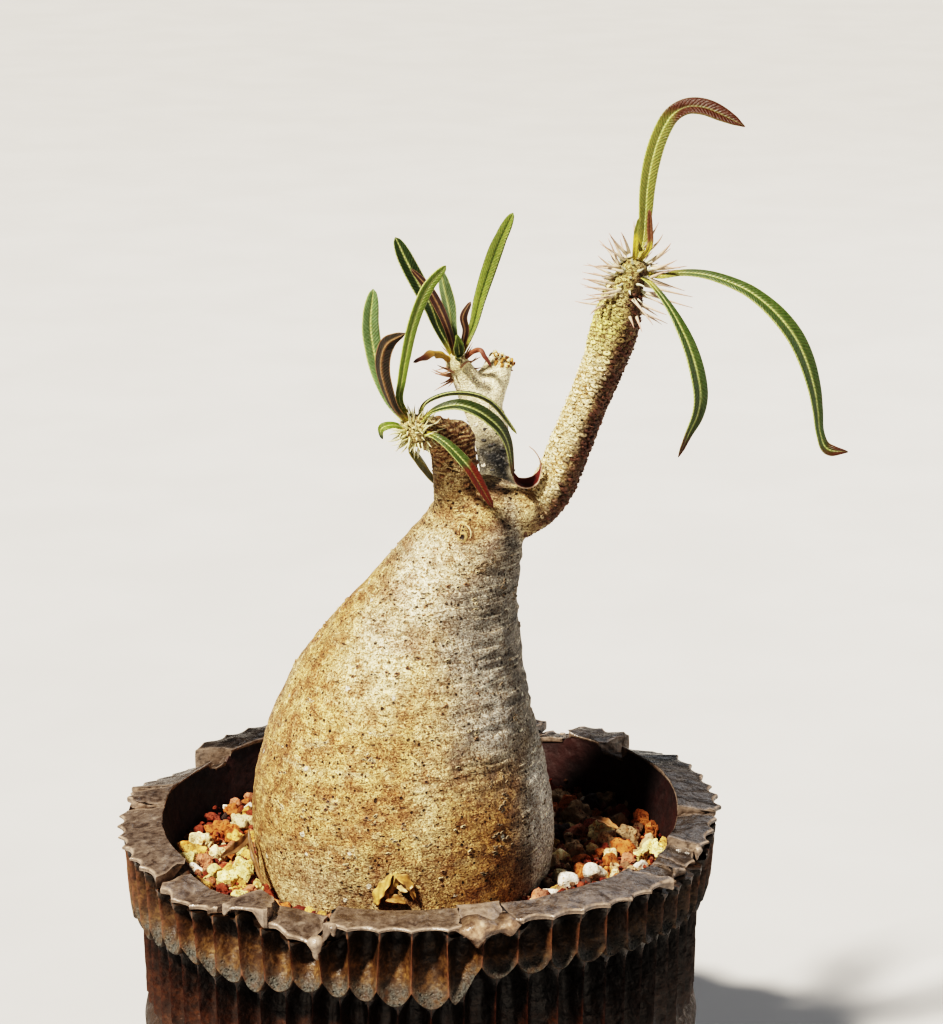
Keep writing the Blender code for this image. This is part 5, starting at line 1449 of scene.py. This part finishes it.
# Leaves: crown, upper face at base and tip, blade and rib colours, tip colour and where it starts, and the
# midrib line beyond the root as x, y, z and width
LEAVES = {
    "right_1": (CROWN_RIGHT, 2.8, (0.1, -1, 0.2), (0.0, -0.7, 0.7), OLIVE, CREAM, RED, 0.62, (
        (42.5, -9.0, 197.1, 1.8), (42.9, -8.2, 202.0, 2.6), (43.2, -8.0, 207.0, 3.0),
        (44.0, -8.0, 212.0, 3.2), (45.4, -8.0, 216.6, 3.2), (47.4, -8.2, 220.2, 3.2),
        (50.2, -8.8, 222.0, 3.4), (53.4, -9.6, 222.0, 3.6), (56.6, -10.6, 220.8, 3.2),
        (60.8, -12.0, 218.8, 1.0))),
    "right_2": (CROWN_RIGHT, 2.8, (0.0, -0.6, 0.8), (0.6, -0.8, 0.2), GREEN, CREAM, RED, 0.90, (
        (45.6, -11.3, 190.6, 1.2), (50.0, -12.0, 191.4, 1.6), (55.0, -13.5, 191.1, 2.2),
        (60.7, -15.0, 189.2, 2.8), (64.4, -16.0, 186.9, 3.3), (67.7, -17.0, 183.9, 3.8),
        (70.6, -17.4, 180.1, 4.0), (72.8, -17.6, 175.5, 3.8), (74.3, -17.6, 170.6, 3.2),
        (75.1, -17.4, 166.3, 2.6), (75.7, -17.2, 162.0, 2.1), (77.2, -17.0, 158.8, 2.4),
        (81.2, -17.0, 158.2, 1.3))),
    "right_3": (CROWN_RIGHT, 2.8, (0.3, -0.5, 0.8), (0.6, -0.8, 0.0), GREEN, CREAM, RED, 0.86, (
        (44.0, -14.8, 189.6, 1.3), (46.8, -18.0, 186.4, 1.9), (49.0, -20.0, 182.7, 2.8),
        (50.8, -21.2, 178.7, 3.4), (52.1, -22.0, 174.2, 3.7), (52.7, -22.2, 170.0, 3.5),
        (52.2, -22.0, 166.4, 2.9), (50.6, -21.8, 162.6, 1.8), (49.0, -21.0, 158.2, 0.8))),
    "right_young_1": (CROWN_RIGHT, 2.8, (0.3, -1, 0.1), (0.3, -1, 0.1), YELLOW, PINK, RUSSET, 0.40, (
        (43.5, -12.7, 196.6, 1.1), (43.5, -12.3, 200.0, 1.2), (43.4, -12.0, 203.4, 0.7))),
    "right_young_2": (CROWN_RIGHT, 2.8, (-0.3, -1, 0.1), (-0.3, -1, 0.1), YELLOW, YELLOW, OLIVE, 0.6, (
        (40.9, -13.4, 196.8, 1.1), (41.1, -13.2, 199.4, 1.1), (41.6, -12.9, 202.0, 0.7))),
    "left_1": (CROWN_LEFT, 3.2, (0.2, -1, 0.1), (0.1, -1, 0.0), GREY_GREEN, CREAM, GREEN, 2, (
        (-5.0, -12.0, 166.7, 1.9), (-7.1, -11.0, 171.7, 2.8), (-8.2, -10.4, 176.7, 3.3),
        (-8.7, -10.2, 181.7, 3.2), (-8.1, -10.0, 188.0, 1.2))),
    "left_2": (CROWN_LEFT, 3.2, (0.5, 1, 0.5), (0.6, 0.6, 0.6), BROWN, PINK, BROWN, 2, (
        (-3.9, -19.4, 167.1, 1.9), (-5.3, -20.6, 170.7, 2.8), (-6.2, -21.8, 174.8, 3.3),
        (-6.0, -23.0, 178.2, 3.2), (-4.8, -24.2, 180.9, 2.7), (-1.8, -25.6, 182.9, 0.9))),
    "left_3": (CROWN_LEFT, 3.2, (0.2, -1, 0.0), (0.5, -1, 0.0), LIME, CREAM, LIME, 2, (
        (-3.1, -17.4, 168.2, 1.4), (-2.7, -17.4, 172.1, 1.7), (-1.9, -17.2, 176.9, 2.0),
        (-0.9, -17.0, 181.6, 2.2), (0.6, -16.6, 186.2, 2.4), (2.5, -16.2, 190.0, 2.4),
        (5.6, -15.4, 193.5, 0.9))),
    "left_4": (CROWN_LEFT, 3.2, (-0.2, -0.4, 1), (0.9, -0.5, 0.1), MOSS, CREAM, RED, 0.86, (
        (2.6, -19.2, 166.2, 1.5), (4.9, -20.2, 167.5, 2.4), (7.9, -20.8, 168.1, 3.0),
        (10.8, -20.8, 167.3, 3.4), (13.4, -20.0, 165.5, 3.6), (15.7, -19.0, 163.0, 3.4),
        (17.2, -17.4, 159.4, 2.8), (18.2, -14.8, 152.8, 0.9))),
    "left_5": (CROWN_LEFT, 3.2, (-0.2, 0.2, 1), (1, 0.2, 0.4), DARK_GREEN, CREAM, CREAM, 0.93, (
        (1.6, -14.0, 166.8, 1.4), (4.8, -13.0, 168.2, 2.2), (8.6, -12.2, 168.4, 2.8),
        (12.2, -11.2, 167.4, 3.0), (15.2, -10.2, 165.0, 2.7), (19.0, -9.0, 159.7, 0.9))),
    "left_6": (CROWN_LEFT, 3.2, (0.2, -0.6, 0.8), (0.3, -1, 0.2), GREEN, CREAM, SCARLET, 0.50, (
        (3.6, -20.2, 162.0, 1.6), (5.8, -21.2, 160.7, 2.0), (8.0, -21.7, 158.6, 2.3),
        (10.1, -21.8, 156.1, 2.4), (12.0, -21.4, 152.8, 2.2), (14.4, -20.6, 148.3, 0.8))),
    "left_young": (CROWN_LEFT, 3.2, (-0.2, -0.6, 0.8), (-0.8, -0.5, -0.2), LIME, CREAM, DARK_GREEN, 0.8, (
        (-4.5, -18.8, 163.8, 1.5), (-6.4, -19.0, 163.2, 1.8), (-6.4, -18.2, 161.0, 0.8))),
    "left_7": (CROWN_LEFT, 3.2, (-1, -0.2, 0.2), (-1, -0.4, 0.3), OLIVE, YELLOW, OLIVE, 2, (
        (-1.3, -13.4, 158.0, 1.6), (0.1, -10.4, 155.4, 2.5), (1.4, -6.5, 152.6, 2.7),
        (2.8, -3.2, 149.6, 2.3), (4.6, -1.4, 146.4, 0.9))),
    "mid_1": (CROWN_MID, 2.4, (0.3, -1, 0.3), (0.2, -1, 0.2), DARK_GREEN, CREAM, DARK_GREEN, 2, (
        (4.0, 3.8, 177.6, 2.1), (2.4, 2.6, 182.3, 3.0), (0.1, 2.0, 186.7, 3.3), (-2.2, 2.0, 191.2, 3.0),
        (-4.2, 2.0, 195.6, 0.9))),
    "mid_2": (CROWN_MID, 2.4, (-0.3, 1, 0.2), (-0.3, 1, 0.2), MAROON, PINK, MAROON, 2, (
        (5.8, -0.8, 178.6, 1.5), (3.9, -1.0, 183.2, 1.9), (1.7, -1.2, 186.9, 1.6), (-1.2, -1.4, 190.2, 0.7))),
    "mid_3": (CROWN_MID, 2.4, (0.4, 1, 0.0), (0.3, 1, 0.0), GREY_GREEN, CREAM, GREEN, 2, (
        (6.6, 8.4, 177.0, 1.9), (6.0, 8.6, 180.8, 2.7), (5.2, 8.2, 184.4, 2.5), (4.5, 8.0, 188.0, 0.9))),
    "mid_4": (CROWN_MID, 2.4, (0.4, 1, 0.1), (0.4, 1, 0.1), MAROON, PINK, MAROON, 2, (
        (9.2, 2.4, 177.0, 1.4), (8.8, 1.6, 180.2, 1.6), (10.2, 1.4, 183.2, 0.7))),
    "mid_5": (CROWN_MID, 2.4, (-0.3, -1, 0.1), (-0.4, -1, 0.1), PALE_GREEN, MOSS, PALE_GREEN, 2, (
        (10.7, 7.2, 177.2, 1.8), (12.0, 8.4, 182.2, 2.5), (13.8, 9.0, 187.9, 3.0), (15.7, 9.2, 193.2, 2.8),
        (18.4, 9.0, 199.1, 0.9))),
    "mid_young": (CROWN_MID, 2.4, (0, -1, 0.3), (0, -0.4, 1), GREEN, CREAM, LIME, 0.7, (
        (8.0, 0.0, 173.2, 1.7), (7.8, -0.9, 175.2, 2.2), (7.4, -1.7, 177.4, 0.9))),
}
# Dried leaves, likewise, but with the colours of their body and tip
DRY_LEAVES = {
    "dry_leaf_mid_1": (
        CROWN_MID, 2.4, (-0.2, -0.9, 0.6), (-0.4, -0.7, 0.7), (0.44, 0.27, 0.06), (0.060, 0.014, 0.007),
        ((4.0, 1.0, 173.3, 1.7), (2.2, -0.6, 173.6, 1.8), (-0.8, -2.6, 172.2, 0.7))),
    "dry_leaf_mid_2": (
        CROWN_MID, 2.4, (0.2, -0.9, 0.7), (0.6, -0.8, 0.4), (0.24, 0.085, 0.045), (0.12, 0.030, 0.018),
        ((11.6, 2.0, 173.8, 1.1), (13.0, 1.0, 172.8, 1.0), (14.2, 0.8, 170.6, 0.6))),
}
# The dried curl in the fork: its midrib line, and which way its upper face looks at even steps along it
CURL = (
    (21.3, -12.8, 158.2, 0.3), (22.4, -12.8, 157.2, 0.4), (23.4, -12.6, 155.4, 0.5), (23.6, -12.4, 153.6, 1.0),
    (23.2, -12.0, 152.2, 1.9), (22.3, -11.8, 151.0, 2.4), (20.6, -11.6, 150.5, 2.5), (19.0, -11.6, 151.0, 2.0),
    (18.2, -11.6, 152.5, 1.0),
)
CURL_FACES = ((-1, 0, -0.3), (-1, -0.3, 0.4), (0, -0.75, 0.8), (0.8, -0.5, 0.6))
# Leaves with a blunt round end
BLUNT = ("left_1", "left_3", "mid_1", "mid_3", "mid_5")
LEAF_ROWS_PER_MM = 2.4
# Places across a blade, from one edge to the other
ACROSS = np.array((-1, -0.95, -0.86, -0.7, -0.5, -0.3, -0.16, -0.08, 0,
                   0.08, 0.16, 0.3, 0.5, 0.7, 0.86, 0.95, 1))


def blade(line, faces, colour_of, thickness=0.42, dish=0.14, groove_depth=0.10, ripple=0.0, dry_from=2.0):
    """A leaf blade as a closed skin: its upper face grooved along the midrib, its under face keeled.

    faces says which way the upper face looks at even steps from root to tip; colour_of gives the colours from
    the share along, the place across and which side.
    """
    count = len(line)
    share = np.linspace(0, 1, count)
    along = unit(np.gradient(line[:, :3], axis=0))
    steps = np.linspace(0, 1, len(faces))
    face = np.column_stack([np.interp(share, steps, np.array(faces, float)[:, k]) for k in range(3)])
    side = unit(np.cross(along, face))
    up = np.cross(side, along)
    width = line[:, 3]
    reach = np.linalg.norm(np.diff(line[:, :3], axis=0), axis=1).sum()
    points, tints, zones = [], [], []
    loop = [(a, 1) for a in ACROSS] + [(a, -1) for a in ACROSS[-2:0:-1]]
    for k in range(count):
        half = width[k] / 2
        for a, top in loop:
            fold = dish * width[k] * abs(a) - 0.05 * width[k] * max(abs(a) - 0.85, 0) / 0.15
            rib = math.exp(-(a / 0.13) ** 2)
            body = thickness * min(1.0, half / 0.6) * math.sqrt(max(1 - abs(a) ** 3, 0.0)) / 2
            if top > 0:
                lift = fold + body - groove_depth * rib * min(1.0, half)
            else:
                lift = fold - body - 0.20 * rib * min(1.0, half)
            lift += ripple * half * math.sin(share[k] * 19 + 3 * np.sign(a)) * abs(a) ** 2
            points.append(line[k, :3] + side[k] * a * half + up[k] * lift)
            tints.append(colour_of(share[k], a, top))
            dry = float(smoothstep(dry_from, dry_from + 0.15, share[k]))
            zones.append((share[k] * reach / 10, abs(a), dry, 0))
    ring = len(loop)
    return np.array(points), tube_faces(count, ring), np.array(tints), np.array(zones)


def rounded_tip(line, crown, radius, count, blunt=False):
    """The line from the crown's skin, with its widths closing to a rounded point or a blunt round end."""
    centre = np.asarray(crown, float)
    beyond = np.array(line, float)
    way = unit(beyond[0, :3] - centre)
    root = centre + way * (radius - 0.6)
    full = smooth_line(np.vstack(((*root, beyond[0, 3] * 0.75), beyond)), count)
    share = np.linspace(0, 1, count)
    if blunt:
        start = 1 - 1.5 * beyond[-2, 3] / (count / LEAF_ROWS_PER_MM)
        kept = np.interp(start, share, full[:, 3])
        closing = np.clip((share - start) / (1.0005 - start), 0, 1)
        full[:, 3] = np.where(share > start, kept * np.sqrt(1 - closing ** 2), full[:, 3])
    else:
        full[:, 3] *= np.sqrt(np.clip((1.002 - share) / 0.05, 0.0, 1))
    return full


def leaf_colours(body, rib, tip, tip_start):
    """Colours for a live blade: yellow root, body, tip, and a pale midrib and margin."""
    body, rib, tip = (np.array(c, float) for c in (body, rib, tip))
    base = np.array(YELLOW, float)

    def colour(share, a, top):
        shade = body * (1.0 if top > 0 else 0.85) + (0.0 if top > 0 else 0.015)
        shade = shade * (1 - 0.15 * math.cos(share * 9 + a))
        turn = float(smoothstep(tip_start, tip_start + 0.10, share + 0.05 * abs(a)))
        shade = shade * (1 - turn) + tip * turn
        root = float(smoothstep(0.16, 0.0, share))
        shade = shade * (1 - root) + base * root
        line = math.exp(-(a / (0.10 if top > 0 else 0.14)) ** 2)
        margin = float(smoothstep(0.87, 0.96, abs(a)))
        stripe = max(line, 0.85 * margin) * (1 - 0.75 * turn)
        return shade * (1 - stripe) + rib * stripe
    return colour


def make_leaves(skin):
    """The live leaves."""
    for name, (crown, radius, base_face, tip_face, body, rib, tip, tip_start, line) in LEAVES.items():
        length = sum(math.dist(a[:3], b[:3]) for a, b in zip(line, line[1:]))
        full = rounded_tip(line, crown, radius, max(24, int(length * LEAF_ROWS_PER_MM)), name in BLUNT)
        dry_from = -0.2 if body in (BROWN, MAROON) else tip_start
        made = blade(full, (base_face, tip_face), leaf_colours(body, rib, tip, tip_start), dry_from=dry_from)
        piece("blade_" + name, mesh_of("blade_" + name, *made), skin, ("leaf_" + name,))


def edged(inside, edge, shares):
    """Colours for a dry blade: a colour that depends on where and which side, and a paler edge."""
    low, high, most = shares

    def colour(share, a, top):
        reach = most * float(smoothstep(low, high, abs(a)))
        return inside(share, top) * (1 - reach) + np.array(edge) * reach
    return colour


def make_dry_leaves(dry_skin):
    """The dried leaves at the middle crown, and the dried curl in the fork."""
    for name, (crown, radius, base_face, tip_face, body, tip, line) in DRY_LEAVES.items():
        body, tip = np.array(body), np.array(tip)

        def fading(share, top):
            turn = float(smoothstep(0.35, 0.8, share))
            return body * (1 - turn) + tip * turn
        colour = edged(fading, (0.36, 0.20, 0.12), (0.8, 1.0, 0.5))
        full = rounded_tip(line, crown, radius, 26)
        data = mesh_of("scale_" + name, *blade(full, (base_face, tip_face), colour, 0.30, -0.3, 0.06, 0.35))
        piece("scale_" + name, data, dry_skin, (name,))
    red, tan = np.array((0.115, 0.016, 0.011)), np.array((0.34, 0.15, 0.09))
    colour = edged(lambda share, top: red if top > 0 else tan, (0.62, 0.44, 0.33), (0.72, 0.95, 1))
    data = mesh_of("curl", *blade(smooth_line(CURL, 44), CURL_FACES, colour, 0.32, 0.16, 0.0, 0.04))
    piece("curl", data, dry_skin, ("dry_curl",))


# The substrate

PUMICE, SHELL, CREAM_CLAY = (0.76, 0.64, 0.39), (0.80, 0.76, 0.66), (0.80, 0.69, 0.32)
YELLOW_CLAY, ORANGE_CLAY, RED_CLAY = (0.58, 0.36, 0.12), (0.38, 0.14, 0.045), (0.22, 0.050, 0.024)
PINK_CLAY, MAROON_CLAY, UMBER = (0.40, 0.18, 0.11), (0.14, 0.028, 0.018), (0.17, 0.095, 0.055)
LAVA, TAN = (0.055, 0.035, 0.03), (0.36, 0.25, 0.15)
# Colours of the loose grains and their weights
PALETTE = ((PUMICE, 0.20), (SHELL, 0.06), (YELLOW_CLAY, 0.16), (ORANGE_CLAY, 0.16), (RED_CLAY, 0.15),
           (PINK_CLAY, 0.09), (LAVA, 0.06), (TAN, 0.12))
# Colours of the small and the larger grains on the left, of grains on the right, and of crumbs
LEFT_SMALL = (MAROON_CLAY, RED_CLAY, PINK_CLAY, ORANGE_CLAY)
LEFT_LARGE = (PUMICE, CREAM_CLAY, YELLOW_CLAY, YELLOW_CLAY)
RIGHT_SIDE = (TAN, TAN, RED_CLAY, UMBER, ORANGE_CLAY)
CRUMBS = (RED_CLAY, MAROON_CLAY, MAROON_CLAY, PINK_CLAY, RED_CLAY, UMBER)
# Grains that stand out: the pixel they are seen at, radius in mm and colour
HAND_GRAINS = (
    (200, 843, 2.5, PUMICE), (233, 811, 1.7, ORANGE_CLAY), (242, 823, 2.5, PUMICE),
    (238, 841, 2.3, YELLOW_CLAY), (211, 874, 2.2, CREAM_CLAY), (227, 880, 2.3, CREAM_CLAY),
    (244, 873, 2.6, CREAM_CLAY), (259, 869, 1.9, SHELL), (204, 863, 1.7, PINK_CLAY),
    (216, 856, 1.9, PUMICE), (191, 838, 1.3, PINK_CLAY), (221, 827, 1.7, ORANGE_CLAY),
    (213, 819, 1.4, RED_CLAY), (196, 870, 1.6, SHELL), (272, 896, 1.3, RED_CLAY),
    (284, 908, 1.4, ORANGE_CLAY), (566, 881, 2.7, SHELL), (598, 873, 2.7, SHELL), (576, 853, 2.1, TAN),
    (592, 851, 1.5, PUMICE), (603, 834, 2.3, PUMICE), (612, 856, 1.9, PUMICE), (626, 838, 2.7, TAN),
    (641, 856, 2.0, CREAM_CLAY), (655, 850, 2.4, CREAM_CLAY), (666, 846, 1.7, YELLOW_CLAY),
    (651, 832, 1.9, ORANGE_CLAY), (641, 820, 2.2, ORANGE_CLAY), (622, 815, 1.9, RED_CLAY),
    (560, 801, 2.1, TAN), (577, 816, 2.7, TAN), (592, 805, 2.2, LAVA), (607, 801, 2.0, TAN),
    (560, 831, 1.8, LAVA), (633, 806, 1.5, TAN), (551, 894, 1.5, SHELL), (586, 866, 1.2, RED_CLAY),
    (628, 860, 1.4, PINK_CLAY),
)
# The bed under the grains: height and radius of its underside and side, and the radii of its top, in mm
BED_TOP = 67.6
BED_SIDE = ((6.4, 2.0), (6.4, 39.4), (40.0, 46.0), (64.0, 48.1), (BED_TOP, 48.6))
BED_TOP_RINGS = (46.0, 43.0, 40.0, 37.0, 34.0, 31.0, 28.0, 22.0, 12.0, 2.0)
STEM_FOOT = (-3.0, -7.0)
GRAIN_FLATS = 9
# Dry scraps: upper face, colour, dish, and a line of pixels with the depth at which each lies and a width, in
# mm. Where no depth is given, the scrap lies on the stem's skin
SCRAPS = (
    ((0.3, -0.5, 0.9), (0.14, 0.072, 0.028), 0.42, (
        (249, 834, -12, 0.8), (243, 843, -15, 1.9), (233, 851, -18, 2.0), (222, 857, -20, 0.7))),
    ((-0.5, -0.8, 0.2), (0.17, 0.088, 0.032), 0.15, (
        (263, 884, -27, 0.7), (257, 866, -23, 1.2), (251, 846, -20, 1.1), (249, 829, -18, 0.4))),
    ((-0.6, -0.7, 0.3), (0.52, 0.31, 0.10), 0.10, (
        (376, 904, None, 1.4), (379, 893, None, 2.6), (386, 884, None, 2.0), (392, 874, None, 0.6))),
    ((0.2, -0.9, 0.3), (0.66, 0.44, 0.16), -0.25, (
        (388, 903, None, 0.9), (389, 892, None, 2.3), (394, 882, None, 2.3), (397, 872, None, 0.6))),
    ((0.7, -0.7, 0.3), (0.46, 0.25, 0.08), 0.30, (
        (396, 876, None, 0.7), (404, 881, None, 2.3), (410, 889, None, 1.6), (414, 900, None, 0.8))),
    ((0.0, -0.9, 0.5), (0.62, 0.44, 0.22), 0.15, (
        (397, 887, None, 0.5), (405, 889, None, 1.5), (413, 886, None, 0.5))),
    ((0.3, -0.8, 0.5), (0.34, 0.18, 0.06), 0.30, (
        (383, 899, None, 0.6), (394, 899, None, 1.8), (406, 903, None, 0.5))),
    ((0.1, -0.5, 0.9), (0.30, 0.14, 0.05), 0.3, (
        (592, 818, 6, 0.6), (604, 822, 3, 1.8), (618, 829, 0, 0.6))),
    ((0.3, -0.3, 0.9), (0.50, 0.22, 0.09), 0.3, (
        (264, 896, -33, 0.5), (272, 901, -34, 1.5), (281, 909, -36, 0.5))),
)


def ico(level):
    """The points and faces of a ball of triangles."""
    return solid_of(lambda shape: bmesh.ops.create_icosphere(shape, subdivisions=level, radius=1.0))


def grain_shape(directions, size, dice, sharpness=14.0):
    """A crushed grain, a ball cut by soft planes and pitted. Gives its points and the painted shade of its
    hollows at each.
    """
    planes = unit(dice.normal(size=(GRAIN_FLATS, 3)))
    depth = dice.uniform(0.62, 1.05, GRAIN_FLATS)
    reach = np.maximum(directions @ planes.T, 1e-3) / depth
    radius = 1 / np.power(np.sum(reach ** sharpness, axis=1), 1 / sharpness)
    radius = np.minimum(radius, 1.12)
    squash = dice.uniform(0.74, 1.25, 3)
    points = directions * radius[:, None] * squash
    place = points * size + dice.uniform(0, 50, 3)
    rough = 1.0 if sharpness > 8 else 0.25
    rugged = rough * (0.26 * noise(place, size * 0.8) + 0.17 * noise(place, size * 0.36)
                      - 0.16 * np.abs(noise(place, size * 0.22)))
    points = (points + directions * rugged[:, None]) * size
    spin = np.array(Matrix.Rotation(dice.uniform(0, 6.28), 3, Vector(unit(dice.normal(size=3)))))
    return points @ spin.T, 1 + 1.5 * np.minimum(rugged + 0.05, 0.0)


def add_grain(parts, ball, place, size, colour, dice, sharpness=9.0):
    """Adds a mottled grain, with painted shade in its hollows."""
    directions, faces = ball
    points, hollow_shade = grain_shape(directions, size, dice, sharpness)
    points = points + place
    tint = np.clip(np.asarray(colour) * dice.uniform(0.85, 1.18), 0, 0.90)
    mottle = 1 + 0.30 * noise(points, max(size * 0.5, 0.6), 2.0)
    parts.add(points, faces, tint * (mottle * hollow_shade)[:, None])


def any_place(dice, radius, inner):
    """A random place on the bed: x, y, and its distances from the pot's axis and from the stem's foot."""
    r = radius * math.sqrt(dice.uniform(inner, 1.0))
    turn = dice.uniform(0, 2 * math.pi)
    x, y = r * math.cos(turn), r * math.sin(turn)
    return x, y, r, math.hypot(x - STEM_FOOT[0], y - STEM_FOOT[1])


def any_colour(dice):
    """A colour of the palette, drawn by weight."""
    weights = np.array([weight for _, weight in PALETTE])
    return np.array(PALETTE[dice.choice(len(PALETTE), p=weights / weights.sum())][0])


def make_bed(finish):
    """The brown mass under the grains."""
    sides = 96
    turn = np.degrees(np.arange(sides) * 2 * math.pi / sides)
    rows = [around(turn, r, z) for z, r in BED_SIDE]
    for r in BED_TOP_RINGS:
        spot = around(turn, r, BED_TOP)
        spot[:, 2] += 0.9 * noise(spot, 4.0)
        rows.append(spot)
    colours = np.tile((0.13, 0.075, 0.045), (len(rows) * sides, 1))
    data = mesh_of("substrate_bed", np.vstack(rows), tube_faces(len(rows), sides), colours)
    piece("substrate_bed", data, finish, ("substrate",))


def make_grains(finish):
    """Grains that stand out, loose ones that keep off them and each other, low ones in between, and crumbs."""
    dice = rng_of(51)
    finest, fine, coarse, tiny = (ico(level) for level in (4, 3, 2, 1))
    names = ("grains_large", "grains_front", "grains_back", "grains_low", "crumbs")
    parts = {name: Bundle() for name in names}
    placed = []
    for px, py, size, colour in HAND_GRAINS:
        way = ray(px, py)
        place = CAMERA + way * (69.6 + 0.55 * size - CAMERA[2]) / way[2]
        add_grain(parts["grains_large"], finest, place, size, colour, dice, 3.4 if colour is SHELL else 14.0)
        placed.append((place[0], place[1], size))
    tries = 0
    while tries < 6000 and len(placed) < 620:
        tries += 1
        size = dice.choice((1.1, 1.5, 2.0, 2.6), p=(0.34, 0.28, 0.24, 0.14)) * dice.uniform(0.9, 1.15)
        x, y, r, away = any_place(dice, 49.2, 0.27)
        if r > 49.3 - size or away < 28.0 + size * 0.6:
            continue
        if any(math.hypot(x - px, y - py) < (size + other) * 0.74 for px, py, other in placed):
            continue
        placed.append((x, y, size))
        colour = any_colour(dice)
        if x < -20 and y < 12:
            colour = np.array((LEFT_SMALL if size < 1.6 else LEFT_LARGE)[dice.integers(4)])
        elif x > 14 and y > -8 and dice.random() < 0.65:
            colour = np.array(RIGHT_SIDE[dice.integers(5)]) * 1.25
        z = 69.2 + dice.uniform(-0.4, 0.9) + 0.35 * size
        in_front = y < 12 and (x < -20 or x > 14)
        name, ball = ("grains_front", fine) if in_front else ("grains_back", coarse)
        add_grain(parts[name], ball, (x, y, z), size, colour, dice)
    for _ in range(520):
        x, y, r, away = any_place(dice, 49.0, 0.25)
        size = dice.uniform(0.8, 1.5)
        if r > 49 - size or away < 27.5:
            continue
        colour = any_colour(dice) * 0.8
        z = 68.3 + dice.uniform(-0.2, 0.7)
        add_grain(parts["grains_low"], coarse, (x, y, z), size, colour, dice)
    directions, faces = tiny
    for _ in range(2600):
        x, y, _, away = any_place(dice, 49.9, 0.3)
        if away < 27.9 or (y > 8 and dice.random() < 0.5):
            continue
        points, hollow_shade = grain_shape(directions, dice.uniform(0.25, 0.62), dice)
        colour = np.array(CRUMBS[dice.integers(6)])
        z = 69.9 + dice.uniform(-0.8, 1.5)
        parts["crumbs"].add(points + (x, y, z), faces, colour * dice.uniform(0.7, 1.1) * hollow_shade[:, None])
    for name, bundle in parts.items():
        piece(name, bundle.mesh(name), finish, sharp=32)


def make_litter(tree, finish):
    """Dry scraps on the grains and against the foot of the stem."""
    parts = Bundle()
    for face, colour, dish, line in SCRAPS:
        points = []
        for px, py, depth, width in line:
            way = ray(px, py)
            if depth is None:
                place = skin_at(tree, px, py)[0] - way * 0.9
            else:
                place = CAMERA + way * (depth - CAMERA[1]) / way[1]
            points.append((*place, width))
        colour = np.array(colour)

        def shade(share, a, top):
            # Light and dark bands across the scrap: painted shade of its crumples
            crease_shade = 0.72 + 0.45 * abs(math.sin(9 * share + 2.5 * a))
            return colour * crease_shade * (1.0 if top > 0 else 0.6)
        parts.add(*blade(smooth_line(points, 22), (face, face), shade, 0.26, dish, 0.0, 0.30))
    piece("dry_scraps", parts.mesh("dry_scraps"), finish)


# Stage

# Lights: kind, place, angle or size, strength and colour
LIGHTS = {
    "key": ("SUN", (-0.428, -0.443, 0.898), 0.09, 7.6, (1.0, 0.92, 0.80)),
    "fill": ("AREA", (1.0, 0.06, 0.4), 0.8, 3.3, (0.93, 0.96, 1.0)),
    "back": ("AREA", (0.3, 0.9, 0.9), 0.7, 2.8, (0.95, 0.97, 1.0)),
}
LOOKED_AT = Vector((0, 0, 0.11))


def make_stage():
    """The photograph's camera, a pale floor, soft studio light and the picture's tones."""
    scene = bpy.context.scene
    data = bpy.data.cameras.new("camera")
    data.lens = FOCAL * SENSOR / IMAGE_HEIGHT
    data.sensor_width = SENSOR
    data.sensor_fit = "AUTO"
    data.clip_end = 50
    scene.camera = linked("camera", data)
    scene.camera.location = CAMERA * MM
    scene.camera.rotation_euler = (math.pi / 2 - TILT, 0, 0)

    finish = Finish("floor")
    finish.shader.inputs["Roughness"].default_value = 0.85
    blotches = finish.rise(finish.noise(60, 3), 0.3, 0.7)
    data = bpy.data.meshes.new("floor")
    corners = [(x, y, -0.0002) for x, y in ((-9, -9), (9, -9), (9, 9), (-9, 9))]
    data.from_pydata(corners, [], [(0, 1, 2, 3)])
    data.materials.append(finish.done(finish.mix(blotches, (0.50, 0.49, 0.48), (0.53, 0.52, 0.51))))
    linked("floor", data)

    for name, (kind, place, size, power, colour) in LIGHTS.items():
        lamp = bpy.data.lights.new(name, kind)
        lamp.energy = power
        lamp.color = colour
        if kind == "SUN":
            lamp.angle = size
        else:
            lamp.size = size
        light = linked(name, lamp)
        light.location = place
        light.rotation_euler = (LOOKED_AT - Vector(place)).to_track_quat("-Z", "Y").to_euler()
    world = bpy.data.worlds.new("studio")
    world.use_nodes = True
    sky = world.node_tree.nodes["Background"]
    sky.inputs["Color"].default_value = (0.87, 0.87, 0.88, 1)
    sky.inputs["Strength"].default_value = 0.085
    scene.world = world
    scene.view_settings.view_transform = "Filmic"
    scene.view_settings.look = "Very High Contrast"


def main():
    make_stage()
    stoneware = pot_finish()
    bark = bark_finish()
    horn = tinted_finish("spine_horn", 0.4, 0.03, 0.7, (0.4, 0.6))
    bumps = tinted_finish("leaf_bases", 0.3, 0.05, 0.6, (0.6, 0.85))
    mineral = mineral_finish()
    paper = tinted_finish("dry_leaf", 0.5, 0.08, 0.65, (0.45, 0.75))
    skin = leaf_finish()
    for make in (make_pot, make_slabs, make_drips, make_fold, make_pot_floor):
        make(stoneware)
    lines, skin_tree = make_stem(bark)
    make_scars(skin_tree, bumps)
    make_stub_top(bumps)
    make_tubercles(lines, bumps)
    make_spines(lines, horn)
    make_leaves(skin)
    make_dry_leaves(paper)
    make_bed(mineral)
    make_grains(mineral)
    make_litter(skin_tree, paper)


main()
